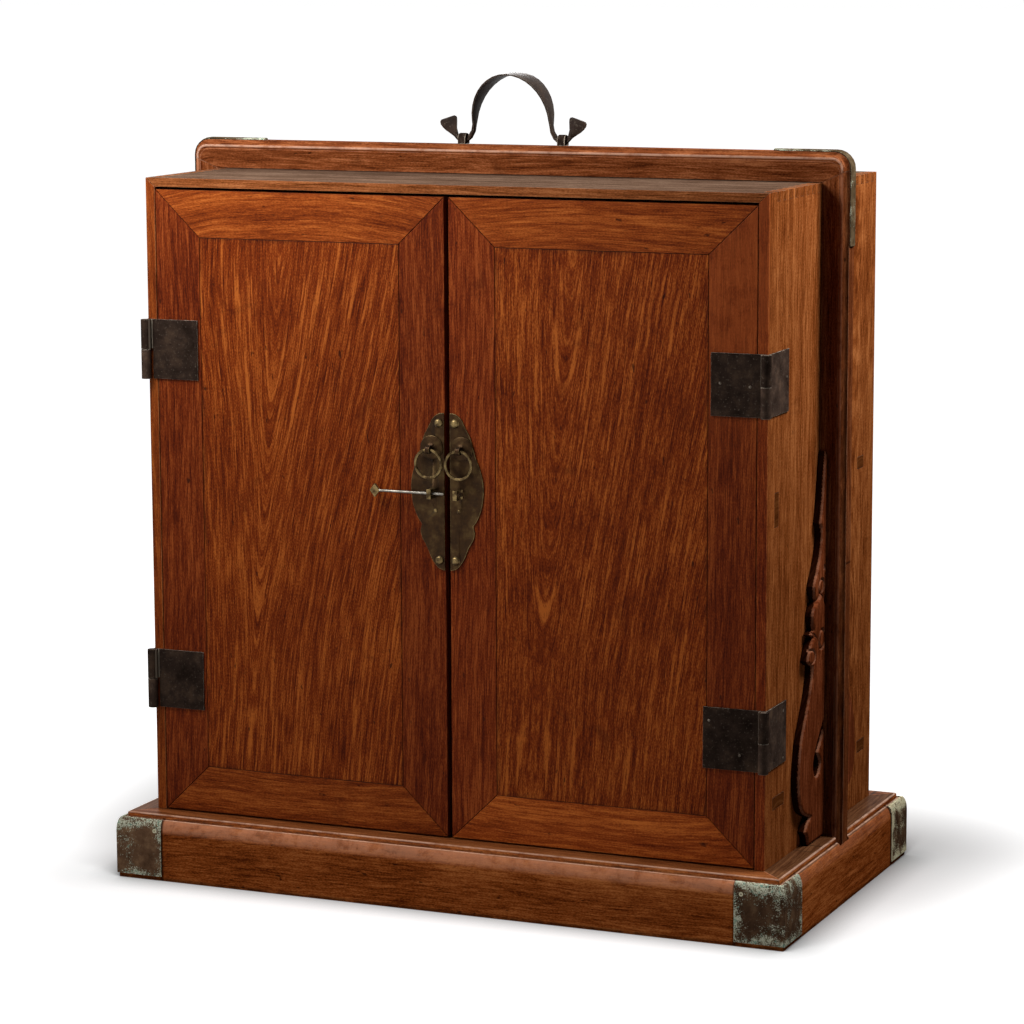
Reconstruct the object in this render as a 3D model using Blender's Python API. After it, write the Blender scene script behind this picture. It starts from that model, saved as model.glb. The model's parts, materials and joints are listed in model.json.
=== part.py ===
"""Two-door book chest of reddish hardwood on a moulded plinth, with a carrying frame.

The origin is on the floor under the middle of the plinth, the doors face -Y and +Z is up.
All sizes are in metres.
"""
import math

import bmesh
import bpy
from mathutils import Vector

for old in list(bpy.data.objects):
    bpy.data.objects.remove(old, do_unlink=True)

# Clearances
FIT = 0.0003
SWING = 0.0006
WELD = 0.000002

# Case of thin boards
CASE_W = 0.620
CASE_D = 0.310
CASE_H = 0.6094
BOARD = 0.0095
TOP_T = 0.0084
BACK_T = 0.008
FINGER_PITCH = 0.016
FRONT_MITRE = 0.014

# Plinth: four mitred rails round a tongued floor panel
BASE_H = 0.0638
BASE_OVER = 0.0285
BASE_RAIL = 0.062
SHOULDER_Z = 0.0555
SHOULDER_R = 0.0055
STEP_IN = 0.0068
TOP_ROUND = 0.0018
FLOOR_T = 0.012
FLOOR_TONGUE = 0.006
TONGUE_T = 0.005
TONGUE_DROP = 0.004

# Sheet corner mounts on the plinth
MOUNT_W = 0.047
MOUNT_T = 0.0012
MOUNT_Z0 = 0.0042

# Carrying frame: two uprights and a beam with round outer corners
FRAME_SIDE_W = 0.0255
FRAME_BEAM_H = 0.0275
FRAME_T = 0.028
FRAME_LIP_T = 0.0145
FRAME_HOLLOW = 0.0035
FRAME_ROUND = 0.0152
MITRE_RISE = 0.0115
FOOT_SINK = 0.0088
STRAP_W = 0.0142
STRAP_T = 0.0018
STRAP_RIM = 0.0007
STRAP_ALONG = 0.0745
STRAP_DOWN = 0.0855
STRAP_TIP = 0.009

# Standing spandrels before and behind each upright
SPANDREL_D = 0.0726
SPANDREL_H = 0.3632
SPANDREL_T = 0.0085

# Shelves on rails whose tenons pass through the sides
SHELF_T = 0.008
SHELF_LEDGE = 0.005
MID_SHELF_TOP = 0.405
LOW_SHELF_TOP = 0.1265
MID_FRONT_T = 0.011
MID_FRONT_H = 0.031
MID_REAR_T = 0.019
LOW_FRONT_T = 0.0315
LOW_REAR_T = 0.0225
FLAT_RAIL_H = 0.0115
RAIL_BEHIND_DOOR = 0.0045
REAR_RAIL_GAP = 0.0235

# Doors: mitred frames with flush panels and two battens behind each
DOOR_T = 0.016
DOOR_SIDE_GAP = 0.0008
DOOR_MEET_GAP = 0.0046
DOOR_TOP_GAP = 0.0026
DOOR_FOOT_GAP = 0.0018
STILE_W = 0.0455
RAIL_W = 0.0440
PANEL_T = 0.008
PANEL_TONGUE = 0.005
GROOVE_FRONT = 0.003
GROOVE_W = 0.0035
BATTEN_H = 0.022
BATTEN_AT = 0.150

# Butt hinges on the case corners
HINGE_H = 0.0565
HINGE_REACH = 0.053
LONG_HINGE_REACH = 0.059
HINGE_SIDE = 0.053
HINGE_T = 0.0012
BARREL_R = 0.0047
HINGE_PIN_R = 0.0021
BARREL_OUT = 0.0052
LEFT_UPPER_Z = 0.5115
LEFT_LOWER_Z = 0.1935
RIGHT_UPPER_Z = 0.5035
RIGHT_LOWER_Z = 0.1830

# Lock plates, staples, ring pulls and the sliding pin
PLATE_H = 0.1466
PLATE_W = 0.0365
PLATE_T = 0.0012
PLATE_Z = 0.3915
RIVET_R = 0.0043
RIVET_H = 0.0030
RIVET_X = 0.0081
RIVET_IN = 0.0095
STUD_R = 0.0020
STUD_H = 0.0012
STUD_X = 0.0116
STUD_Z = 0.374
STAPLE_X = 0.0132
STAPLE_W = 0.0045
STAPLE_STRIP = 0.0017
STAPLE_LEG = 0.0029
STAPLE_OUT = 0.0128
STAPLE_HIGH = 0.0092
STAPLE_Z = 0.3905
PIN_R = 0.0013
PIN_LENGTH = 0.070
PIN_HEAD_W = 0.0100
PIN_HEAD_H = 0.0125
PIN_HEAD_T = 0.0030
PIN_TIP_SHORT = 0.0006
BOSS_R = 0.0112
BOSS_H = 0.0030
BOSS_Z = 0.4325
RING_X = 0.0151
RING_R = 0.0130
RING_WIRE = 0.0015
RING_AXIS_Z = 0.4312
RING_OUT = 0.0080
EYE_R = 0.0037
EYE_HOLE = 0.0021
EYE_W = 0.0042

# Bail handle on the beam
BAIL_EYE_X = 0.051
BAIL_EYE_W = 0.0078
BAIL_EYE_R = 0.0058
BAIL_EYE_HOLE = 0.0029
BAIL_AXIS_UP = 0.0048
BAIL_ARCH_X = 0.0393
BAIL_ARCH_H = 0.0445
BAIL_LEG = 0.0174
BAIL_LEG_W = 0.0108
BAIL_GRIP_W = 0.0360
BAIL_GRIP_T = 0.0028
BAIL_NECK = 0.0046
BAIL_NECK_RUN = 0.0010
BAIL_FAN_W = 0.0182
BAIL_FAN_T = 0.0024
BAIL_FAN_RUN = 0.0164
BAIL_FAN_RISE = 0.0201

# Planes that several pieces share
HX = CASE_W / 2
HY = CASE_D / 2
BX = HX + BASE_OVER
BY = HY + BASE_OVER
CASE_TOP = BASE_H + CASE_H
FRONT = -HY
FRAME_X = HX + FIT
FRAME_Z = CASE_TOP + FIT
FRAME_OUT_X = FRAME_X + FRAME_SIDE_W
FRAME_TOP = FRAME_Z + FRAME_BEAM_H
HINGE_Y = FRONT - BARREL_OUT
DOOR_IN = HX - BOARD - DOOR_SIDE_GAP
DOOR_MEET = DOOR_MEET_GAP / 2
DOOR_Z0 = BASE_H + DOOR_FOOT_GAP
DOOR_Z1 = CASE_TOP - TOP_T - DOOR_TOP_GAP
PLATE_FACE = FRONT - FIT - PLATE_T
PIN_Z = STAPLE_Z - STAPLE_HIGH / 2 + STAPLE_LEG + PIN_R + FIT
PIN_Y = PLATE_FACE - STAPLE_OUT / 2 + STAPLE_STRIP / 2
RING_Y = PLATE_FACE - RING_OUT
BAIL_Z = FRAME_TOP + BAIL_AXIS_UP


def material(name, colour, rough, metal):
    """A plain Principled surface in the piece's own colour."""
    mat = bpy.data.materials.new(name)
    mat.use_nodes = True
    shader = mat.node_tree.nodes["Principled BSDF"]
    shader.inputs["Base Color"].default_value = (*colour, 1.0)
    shader.inputs["Roughness"].default_value = rough
    shader.inputs["Metallic"].default_value = metal
    return mat


CASE_WOOD = material("case_wood", (0.20, 0.075, 0.028), 0.42, 0.0)
DOOR_WOOD = material("door_wood", (0.17, 0.052, 0.020), 0.40, 0.0)
FRAME_WOOD = material("frame_wood", (0.16, 0.050, 0.022), 0.36, 0.0)
BASE_WOOD = material("base_wood", (0.19, 0.068, 0.026), 0.42, 0.0)
INNER_WOOD = material("inner_wood", (0.15, 0.062, 0.028), 0.60, 0.0)
IRON = material("dark_bronze", (0.050, 0.042, 0.034), 0.50, 0.9)
BRASS = material("aged_brass", (0.105, 0.080, 0.045), 0.45, 0.9)
PATINA = material("patinated_bronze", (0.090, 0.085, 0.060), 0.62, 0.7)


def empty(name, at, parent=None):
    """A pivot for a moving body, at a world point."""
    obj = bpy.data.objects.new(name, None)
    bpy.context.scene.collection.objects.link(obj)
    obj["world_at"] = tuple(at)
    if parent is None:
        obj.location = at
    else:
        obj.parent = parent
        obj.location = Vector(at) - Vector(parent["world_at"])
    return obj


def place(name, bm, mat, parent=None, origin=None, smooth=False):
    """Turn a bmesh drawn in world coordinates into a named object."""
    bmesh.ops.remove_doubles(bm, verts=bm.verts, dist=WELD)
    bmesh.ops.recalc_face_normals(bm, faces=bm.faces)
    base = Vector(parent["world_at"]) if parent else Vector((0, 0, 0))
    at = Vector(origin) if origin else base
    bmesh.ops.translate(bm, vec=-at, verts=bm.verts)
    mesh = bpy.data.meshes.new(name)
    bm.to_mesh(mesh)
    bm.free()
    mesh.materials.append(mat)
    if smooth:
        mesh.shade_smooth()
        mesh.set_sharp_from_angle(angle=math.radians(40))
    obj = bpy.data.objects.new(name, mesh)
    bpy.context.scene.collection.objects.link(obj)
    obj.parent = parent
    obj.location = at - base
    return obj


def loft(bm, rings):
    """Skin a row of equal rings and close both ends."""
    rows = [[bm.verts.new(p) for p in ring] for ring in rings]
    count = len(rows[0])
    for first, second in zip(rows, rows[1:]):
        for i in range(count):
            j = (i + 1) % count
            bm.faces.new((first[i], first[j], second[j], second[i]))
    bm.faces.new(rows[0][::-1])
    bm.faces.new(rows[-1])
    return bm


def block(bm, x0, x1, y0, y1, z0, z1):
    """A rectangular block between two corners."""
    rings = []
    for z in (z0, z1):
        rings.append([(x0, y0, z), (x1, y0, z), (x1, y1, z), (x0, y1, z)])
    return loft(bm, rings)


def prism(bm, outline, axis, low, high):
    """Extrude an outline along one axis; the outline holds the other two coordinates in order."""
    rings = []
    for level in (low, high):
        if axis == "x":
            rings.append([(level, u, v) for u, v in outline])
        elif axis == "y":
            rings.append([(u, level, v) for u, v in outline])
        else:
            rings.append([(u, v, level) for u, v in outline])
    return loft(bm, rings)


def turned(bm, profile, centre, axis, sides):
    """Turn a profile of (radius, height) pairs about an axis through the centre."""
    cx, cy, cz = centre
    rings = []
    for radius, height in profile:
        ring = []
        for k in range(sides):
            a = 2 * math.pi * k / sides
            u = radius * math.cos(a)
            v = radius * math.sin(a)
            if axis == "x":
                ring.append((cx + height, cy + u, cz + v))
            elif axis == "y":
                ring.append((cx + u, cy + height, cz + v))
            else:
                ring.append((cx + u, cy + v, cz + height))
        rings.append(ring)
    return loft(bm, rings)


def arc(cu, cv, radius, start, end, steps):
    """Points on an arc from one angle to another, in degrees."""
    points = []
    for k in range(steps + 1):
        a = math.radians(start + (end - start) * k / steps)
        points.append((cu + radius * math.cos(a), cv + radius * math.sin(a)))
    return points


def spline(knots, steps):
    """A smooth line through knots (u, v) with corners where a knot has a third entry."""
    out = []
    last = len(knots) - 1
    for i in range(last):
        p = Vector(knots[i][:2])
        q = Vector(knots[i + 1][:2])
        before = Vector(knots[max(i - 1, 0)][:2])
        after = Vector(knots[min(i + 2, last)][:2])
        start = q - p if i == 0 or len(knots[i]) > 2 else (q - before) / 2
        end = q - p if i + 1 == last or len(knots[i + 1]) > 2 else (after - p) / 2
        plain = (i == 0 or len(knots[i]) > 2) and (i + 1 == last or len(knots[i + 1]) > 2)
        count = 1 if plain else steps
        for k in range(count):
            t = k / count
            a = 2 * t ** 3 - 3 * t ** 2 + 1
            b = t ** 3 - 2 * t ** 2 + t
            c = -2 * t ** 3 + 3 * t ** 2
            d = t ** 3 - t ** 2
            point = a * p + b * start + c * q + d * end
            out.append((point.x, point.y))
    out.append(tuple(knots[-1][:2]))
    return out


def apply_boolean(obj, bm, operation):
    """Cut or join a tool drawn in world coordinates, then keep the result as the mesh."""
    bmesh.ops.remove_doubles(bm, verts=bm.verts, dist=WELD)
    bmesh.ops.recalc_face_normals(bm, faces=bm.faces)
    mesh = bpy.data.meshes.new("tool")
    bm.to_mesh(mesh)
    bm.free()
    tool = bpy.data.objects.new("tool", mesh)
    bpy.context.scene.collection.objects.link(tool)
    step = obj.modifiers.new("step", "BOOLEAN")
    step.operation = operation
    step.solver = "EXACT"
    step.object = tool
    bpy.context.view_layer.update()
    graph = bpy.context.evaluated_depsgraph_get()
    result = bpy.data.meshes.new_from_object(obj.evaluated_get(graph))
    obj.modifiers.clear()
    obj.data = result
    bpy.data.objects.remove(tool, do_unlink=True)


def cut(obj, bm):
    apply_boolean(obj, bm, "DIFFERENCE")


def join(obj, bm):
    apply_boolean(obj, bm, "UNION")


# Plinth

def plinth_profile():
    """Section of a plinth rail as (distance in from the outer face, height)."""
    groove_top = BASE_H - TONGUE_DROP + FIT
    groove_foot = BASE_H - TONGUE_DROP - TONGUE_T - FIT
    deep = BASE_RAIL - FLOOR_TONGUE - FIT
    section = [(0, 0), (0, SHOULDER_Z - SHOULDER_R)]
    for u, v in arc(SHOULDER_R, SHOULDER_Z - SHOULDER_R, SHOULDER_R, 180, 90, 4)[1:]:
        section.append((u, v))
    section += [(STEP_IN, SHOULDER_Z), (STEP_IN, BASE_H - TOP_ROUND)]
    for u, v in arc(STEP_IN + TOP_ROUND, BASE_H - TOP_ROUND, TOP_ROUND, 180, 90, 3)[1:]:
        section.append((u, v))
    section += [(BASE_RAIL, BASE_H), (BASE_RAIL, groove_top), (deep, groove_top)]
    section += [(deep, groove_foot), (BASE_RAIL, groove_foot), (BASE_RAIL, 0)]
    return section


def plinth_rail(name, along, side):
    """One mitred plinth rail; along is x for the front and rear, y for the ends."""
    rings = []
    for end in (-1, 1):
        ring = []
        for u, z in plinth_profile():
            if along == "x":
                ring.append((end * (BX - u - FIT), side * (BY - u), z))
            else:
                ring.append((side * (BX - u), end * (BY - u - FIT), z))
        rings.append(ring)
    return place(name, loft(bmesh.new(), rings), BASE_WOOD)


plinth_rail("plinth_front_rail", "x", -1)
plinth_rail("plinth_rear_rail", "x", 1)
for side, tag in ((-1, "left"), (1, "right")):
    rail = plinth_rail("plinth_%s_rail" % tag, "y", side)
    housing = bmesh.new()
    near = side * (HX - FIT)
    far = side * (BX + STEP_IN)
    block(housing, min(near, far), max(near, far), -FRAME_T / 2 - FIT, FRAME_T / 2 + FIT,
          BASE_H - FOOT_SINK - FIT, BASE_H + FOOT_SINK)
    cut(rail, housing)


def tongued_panel(spans, levels, axis, tongue):
    """A panel as a stack of rectangles along an axis: levels are low, tongue low, tongue high and high."""
    (u0, u1), (v0, v1) = spans
    low, tongue_low, tongue_high, high = levels
    stack = [(low, 0), (tongue_low, 0), (tongue_low, tongue)]
    stack += [(tongue_high, tongue), (tongue_high, 0), (high, 0)]
    rings = []
    for level, grow in stack:
        corners = [(u0 - grow, v0 - grow), (u1 + grow, v0 - grow)]
        corners += [(u1 + grow, v1 + grow), (u0 - grow, v1 + grow)]
        if axis == "z":
            rings.append([(u, v, level) for u, v in corners])
        else:
            rings.append([(u, level, v) for u, v in corners])
    return loft(bmesh.new(), rings)


FLOOR_X = BX - BASE_RAIL - FIT
FLOOR_Y = BY - BASE_RAIL - FIT
FLOOR_SPANS = ((-FLOOR_X, FLOOR_X), (-FLOOR_Y, FLOOR_Y))
FLOOR_LEVELS = (BASE_H - FLOOR_T, BASE_H - TONGUE_DROP - TONGUE_T, BASE_H - TONGUE_DROP, BASE_H)
place("plinth_floor_panel", tongued_panel(FLOOR_SPANS, FLOOR_LEVELS, "z", FLOOR_TONGUE - FIT), INNER_WOOD)


def mount_profile():
    """Section of a sheet mount: down the face and over the round shoulder, as (outward, height)."""
    skin = []
    for offset in (FIT, FIT + MOUNT_T):
        line = [(offset, MOUNT_Z0), (offset, SHOULDER_Z - SHOULDER_R)]
        bend = arc(-SHOULDER_R, SHOULDER_Z - SHOULDER_R, SHOULDER_R + offset, 0, 78, 4)
        skin.append(line + bend[1:])
    return skin[1] + skin[0][::-1]


for y_side, front_tag in ((-1, "front"), (1, "rear")):
    for x_side, side_tag in ((-1, "left"), (1, "right")):
        start, corner, finish = [], [], []
        for out, z in mount_profile():
            start.append((x_side * (BX - MOUNT_W), y_side * (BY + out), z))
            corner.append((x_side * (BX + out), y_side * (BY + out), z))
            finish.append((x_side * (BX + out), y_side * (BY - MOUNT_W), z))
        sheet = loft(bmesh.new(), [start, corner, finish])
        place("plinth_mount_%s_%s" % (front_tag, side_tag), sheet, PATINA)


# Case boards

FINGER = FINGER_PITCH / 2
FINGER_START = FRONT + FRONT_MITRE
FINGER_COUNT = int((CASE_D - FRONT_MITRE - FINGER) / FINGER_PITCH)


def side_board(name, side):
    """A case side with a mitred front corner and open notches for the top's fingers."""
    outer = side * HX
    inner = side * (HX - BOARD)
    low = BASE_H + FIT
    notch = CASE_TOP - TOP_T - FIT
    edge = [(FRONT, low, low), (FRONT, CASE_TOP, CASE_TOP - TOP_T)]
    edge += [(FINGER_START, CASE_TOP, CASE_TOP - TOP_T), (FINGER_START, CASE_TOP, CASE_TOP)]
    for k in range(FINGER_COUNT):
        y0 = FINGER_START + k * FINGER_PITCH + FINGER
        y1 = y0 + FINGER
        edge += [(y0, CASE_TOP, CASE_TOP), (y0, notch, notch)]
        edge += [(y1, notch, notch), (y1, CASE_TOP, CASE_TOP)]
    edge += [(HY, CASE_TOP, CASE_TOP), (HY, low, low)]
    rings = [[(outer, y, z) for y, z, _ in edge], [(inner, y, z) for y, _, z in edge]]
    return place(name, loft(bmesh.new(), rings), CASE_WOOD)


def shelf_rails():
    """Rail sections as name: (y low, y high, z low, z high)."""
    front = FRONT + DOOR_T + RAIL_BEHIND_DOOR
    rear = HY - REAR_RAIL_GAP + RAIL_BEHIND_DOOR
    return {
        "mid_front": (front, front + MID_FRONT_T, MID_SHELF_TOP - MID_FRONT_H, MID_SHELF_TOP),
        "low_front": (front, front + LOW_FRONT_T, LOW_SHELF_TOP - FLAT_RAIL_H, LOW_SHELF_TOP),
        "mid_rear": (rear - REAR_RAIL_GAP / 2 - MID_REAR_T, rear - REAR_RAIL_GAP / 2,
                     MID_SHELF_TOP - FLAT_RAIL_H, MID_SHELF_TOP),
        "low_rear": (rear - LOW_REAR_T, rear, LOW_SHELF_TOP - FLAT_RAIL_H, LOW_SHELF_TOP),
    }


RAILS = shelf_rails()
for side, tag in ((-1, "left"), (1, "right")):
    board = side_board("case_%s_side" % tag, side)
    mortises = bmesh.new()
    for y0, y1, z0, z1 in RAILS.values():
        near = side * (HX - 2 * BOARD)
        far = side * (HX + BOARD)
        block(mortises, min(near, far), max(near, far), y0 - FIT, y1 + FIT, z0 - FIT, z1 + FIT)
    cut(board, mortises)


def top_board():
    """The case top with through fingers at both ends and mitred front corners."""
    half = HX - BOARD - FIT
    right = [(HX - FIT, half - FIT, FRONT), (HX - FIT, half - FIT, FINGER_START - FIT)]
    right.append((half, half, FINGER_START - FIT))
    for k in range(FINGER_COUNT):
        y0 = FINGER_START + k * FINGER_PITCH + FINGER + FIT
        y1 = y0 + FINGER - 2 * FIT
        right += [(half, half, y0), (HX, HX, y0), (HX, HX, y1), (half, half, y1)]
    right.append((half, half, HY))
    left = [(-top, -foot, y) for top, foot, y in right[::-1]]
    plan = right + left
    under = [(foot, y, CASE_TOP - TOP_T) for _, foot, y in plan]
    upper = [(top, y, CASE_TOP) for top, _, y in plan]
    return place("case_top", loft(bmesh.new(), [under, upper]), CASE_WOOD)


top_board()
INSIDE_X = HX - BOARD - FIT
BACK_Z0 = BASE_H + FIT
BACK_Z1 = CASE_TOP - TOP_T - FIT
place("case_back", block(bmesh.new(), -INSIDE_X, INSIDE_X, HY - BACK_T, HY, BACK_Z0, BACK_Z1), INNER_WOOD)


# Shelves

def tenoned_rail(name, key, ledge_side):
    """A rail through both sides, with a ledge for the shelf board between them."""
    y0, y1, z0, z1 = RAILS[key]
    rail = place(name, block(bmesh.new(), -HX, HX, y0, y1, z0, z1), INNER_WOOD)
    edge = y1 if ledge_side > 0 else y0
    ledge = bmesh.new()
    block(ledge, -INSIDE_X, INSIDE_X, edge - SHELF_LEDGE, edge + SHELF_LEDGE,
          z1 - SHELF_T - FIT, z1 + SHELF_T)
    cut(rail, ledge)


for level in ("mid", "low"):
    front_key = "%s_front" % level
    rear_key = "%s_rear" % level
    tenoned_rail("%s_shelf_front_rail" % level, front_key, 1)
    tenoned_rail("%s_shelf_rear_rail" % level, rear_key, -1)
    shelf_y0 = RAILS[front_key][1] - SHELF_LEDGE + FIT
    shelf_y1 = RAILS[rear_key][0] + SHELF_LEDGE - FIT
    shelf_top = RAILS[front_key][3]
    shelf = block(bmesh.new(), -INSIDE_X, INSIDE_X, shelf_y0, shelf_y1, shelf_top - SHELF_T, shelf_top)
    place("%s_shelf_board" % level, shelf, INNER_WOOD)


# Carrying frame

def frame_setback(share):
    """How far the frame's face lies behind its bead, at a share of the width from the inner edge."""
    lip = (FRAME_T - FRAME_LIP_T) / 2
    bead_start, bead_top, bead_end, lip_start = 0.69, 0.79, 0.885, 0.915
    if share <= bead_start:
        return FRAME_HOLLOW * (1 - 0.72 * (share / bead_start) ** 2)
    if share <= bead_end:
        side = bead_top - bead_start if share < bead_top else bead_end - bead_top
        return FRAME_HOLLOW * 0.5 * ((share - bead_top) / side) ** 2
    if share <= lip_start:
        return lip * 0.92
    return lip * (0.92 + 0.08 * (share - lip_start) / (1 - lip_start))


def frame_profile():
    """Section of the frame: a hollow from the inner edge up to a bead, then a step back to a narrow lip."""
    half = FRAME_T / 2
    shares = (0.0, 0.18, 0.36, 0.54, 0.69, 0.705, 0.74, 0.79, 0.84, 0.885, 0.90, 0.97, 1.0)
    face = [(share, frame_setback(share)) for share in shares]
    return [(s, -half + d) for s, d in face] + [(s, half - d) for s, d in face[::-1]]


def frame_ring(inner, outer, side):
    """The frame's section laid between an inner and an outer point of the XZ plane."""
    ring = []
    for share, depth in frame_profile():
        x = inner[0] + (outer[0] - inner[0]) * share
        z = inner[1] + (outer[1] - inner[1]) * share
        ring.append((side * x, depth, z))
    return ring


MITRE_Z = FRAME_Z + MITRE_RISE
for side, tag in ((-1, "left"), (1, "right")):
    foot = BASE_H - FOOT_SINK
    rings = [frame_ring((FRAME_X, foot), (FRAME_OUT_X, foot), side)]
    rings.append(frame_ring((FRAME_X, FRAME_Z), (FRAME_OUT_X, FRAME_Z), side))
    rings.append(frame_ring((FRAME_X, FRAME_Z), (FRAME_OUT_X, MITRE_Z), side))
    place("frame_%s_upright" % tag, loft(bmesh.new(), rings), FRAME_WOOD)


def beam_stations():
    """Inner and outer points along the right half of the beam, from the mitre to the middle."""
    corner = (FRAME_X, FRAME_Z + FIT)
    stations = [(corner, (FRAME_OUT_X, MITRE_Z + FIT))]
    centre = (FRAME_OUT_X - FRAME_ROUND, FRAME_TOP - FRAME_ROUND)
    for point in arc(centre[0], centre[1], FRAME_ROUND, 0, 90, 6):
        stations.append((corner, point))
    stations.append((corner, (FRAME_X, FRAME_TOP)))
    return stations


beam = [frame_ring(a, b, 1) for a, b in beam_stations()]
beam += [frame_ring(a, b, -1) for a, b in beam_stations()[::-1]]
place("frame_beam", loft(bmesh.new(), beam), FRAME_WOOD)


def strap_line(offset):
    """Line of a strap over the frame's corner, out by an offset, with a width share at each point."""
    low = FRAME_TOP - STRAP_DOWN
    end = FRAME_OUT_X - STRAP_ALONG
    centre = (FRAME_OUT_X - FRAME_ROUND, FRAME_TOP - FRAME_ROUND)
    line = [(FRAME_OUT_X + offset, low, 0.55), (FRAME_OUT_X + offset, low + STRAP_TIP, 1.0)]
    for x, z in arc(centre[0], centre[1], FRAME_ROUND + offset, 0, 90, 6):
        line.append((x, z, 1.0))
    line.append((end + STRAP_TIP, FRAME_TOP + offset, 1.0))
    line.append((end, FRAME_TOP + offset, 0.55))
    return line


def strap_section():
    """Half-round section of a strap as (share of half its width, height above the wood)."""
    crown = STRAP_T - STRAP_RIM
    rise = [(-1, 0), (-1, STRAP_RIM), (-0.56, STRAP_RIM + crown * 0.80), (0, STRAP_T)]
    return rise + [(-share, height) for share, height in rise[2::-1]]


for side, tag in ((-1, "left"), (1, "right")):
    lines = [(share, strap_line(FIT + height)) for share, height in strap_section()]
    rings = []
    for k in range(len(strap_line(FIT))):
        ring = []
        for share, line in lines:
            x, z, width = line[k]
            ring.append((side * x, share * width * STRAP_W / 2, z))
        rings.append(ring)
    place("frame_%s_strap" % tag, loft(bmesh.new(), rings), PATINA)


# Standing spandrels

def spandrel_outline():
    """Carved outline as (share of depth out from the upright, share of height)."""
    rear = [(0, 0, 1), (0, 0.284, 1), (0.07, 0.268), (0.17, 0.246), (0.27, 0.229), (0.20, 0.215)]
    rear += [(0.14, 0.196), (0.19, 0.176), (0.28, 0.168)]
    rear += [(0.38, 0.176), (0.43, 0.199), (0.40, 0.224), (0.28, 0.256)]
    rear += [(0.13, 0.286), (0, 0.312, 1), (0, 1, 1)]
    front = [(0.025, 1, 1), (0.08, 0.955), (0.14, 0.877), (0.225, 0.819, 1), (0.175, 0.808, 1), (0.16, 0.775)]
    front += [(0.225, 0.734), (0.35, 0.695), (0.46, 0.665), (0.42, 0.640), (0.34, 0.624, 1), (0.45, 0.610)]
    front += [(0.505, 0.590), (0.465, 0.566), (0.42, 0.552, 1), (0.61, 0.546, 1), (0.45, 0.535, 1)]
    front += [(0.54, 0.524), (0.62, 0.505), (0.685, 0.480, 1)]
    front += [(0.59, 0.468), (0.49, 0.461), (0.51, 0.428), (0.61, 0.381)]
    front += [(0.76, 0.331), (0.92, 0.276), (1.0, 0.182), (0.93, 0.121), (0.78, 0.090), (0.51, 0.071, 1)]
    front += [(0.64, 0.060), (0.745, 0.041, 1), (0.65, 0.025), (0.60, 0.0, 1)]
    return spline(rear, 2) + spline(front, 2)


for x_side, side_tag in ((-1, "left"), (1, "right")):
    for y_side, front_tag in ((-1, "front"), (1, "rear")):
        face = y_side * (FRAME_T / 2 - frame_setback(SPANDREL_T / FRAME_SIDE_W) + FIT)
        foot = BASE_H + FIT
        outline = [(face + y_side * u * SPANDREL_D, foot + v * SPANDREL_H) for u, v in spandrel_outline()]
        near = x_side * (HX + FIT)
        far = x_side * (HX + FIT + SPANDREL_T)
        scroll = prism(bmesh.new(), outline, "x", near, far)
        place("spandrel_%s_%s" % (front_tag, side_tag), scroll, FRAME_WOOD)


# Doors

DOOR_PIVOTS = {}
for side, tag in ((-1, "left"), (1, "right")):
    DOOR_PIVOTS[tag] = empty("%s_door_pivot" % tag, (side * HX, HINGE_Y, 0))


def member(width):
    """Section of a door frame member as (distance in from the outer edge, depth) with the panel's groove."""
    deep = width - PANEL_TONGUE - FIT
    back = GROOVE_FRONT + GROOVE_W
    return [(0, 0), (width, 0), (width, GROOVE_FRONT), (deep, GROOVE_FRONT), (deep, back), (width, back),
            (width, DOOR_T), (0, DOOR_T)]


def door_frame(side, tag):
    """Two stiles and two rails, mitred at the corners."""
    pivot = DOOR_PIVOTS[tag]
    out_x = DOOR_IN
    in_x = DOOR_MEET
    slope = STILE_W / RAIL_W
    for name, edge, way in (("hinge_stile", out_x, -1), ("meeting_stile", in_x, 1)):
        rings = []
        for end, sign in ((DOOR_Z0, 1), (DOOR_Z1, -1)):
            ring = []
            for u, d in member(STILE_W):
                ring.append((side * (edge + way * u), FRONT + d, end + sign * (u / slope + FIT)))
            rings.append(ring)
        place("%s_door_%s" % (tag, name), loft(bmesh.new(), rings), DOOR_WOOD, pivot)
    for name, edge, way in (("top_rail", DOOR_Z1, -1), ("bottom_rail", DOOR_Z0, 1)):
        rings = []
        for end, sign in ((in_x, 1), (out_x, -1)):
            ring = []
            for u, d in member(RAIL_W):
                ring.append((side * (end + sign * (u * slope + FIT)), FRONT + d, edge + way * u))
            rings.append(ring)
        place("%s_door_%s" % (tag, name), loft(bmesh.new(), rings), DOOR_WOOD, pivot)


def door_panel(side, tag):
    """The flush tongued panel and the two battens behind it."""
    pivot = DOOR_PIVOTS[tag]
    near = side * (DOOR_MEET + STILE_W + FIT)
    far = side * (DOOR_IN - STILE_W - FIT)
    span_x = (min(near, far), max(near, far))
    span_z = (DOOR_Z0 + RAIL_W + FIT, DOOR_Z1 - RAIL_W - FIT)
    groove = FRONT + GROOVE_FRONT
    levels = (FRONT, groove + FIT, groove + GROOVE_W - FIT, FRONT + PANEL_T)
    panel = tongued_panel((span_x, span_z), levels, "y", PANEL_TONGUE - FIT)
    place("%s_door_panel" % tag, panel, DOOR_WOOD, pivot)
    for level, z in (("lower", span_z[0] + BATTEN_AT), ("upper", span_z[1] - BATTEN_AT)):
        batten = block(bmesh.new(), span_x[0], span_x[1], FRONT + PANEL_T + FIT, FRONT + DOOR_T,
                       z - BATTEN_H / 2, z + BATTEN_H / 2)
        place("%s_door_%s_batten" % (tag, level), batten, INNER_WOOD, pivot)


for side, tag in ((-1, "left"), (1, "right")):
    door_frame(side, tag)
    door_panel(side, tag)


# Hinges

BARREL_SIDES = 20


def barrel(low, high, radius, x):
    return turned(bmesh.new(), [(radius, low), (radius, high)], (x, HINGE_Y, 0), "z", BARREL_SIDES)


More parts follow.
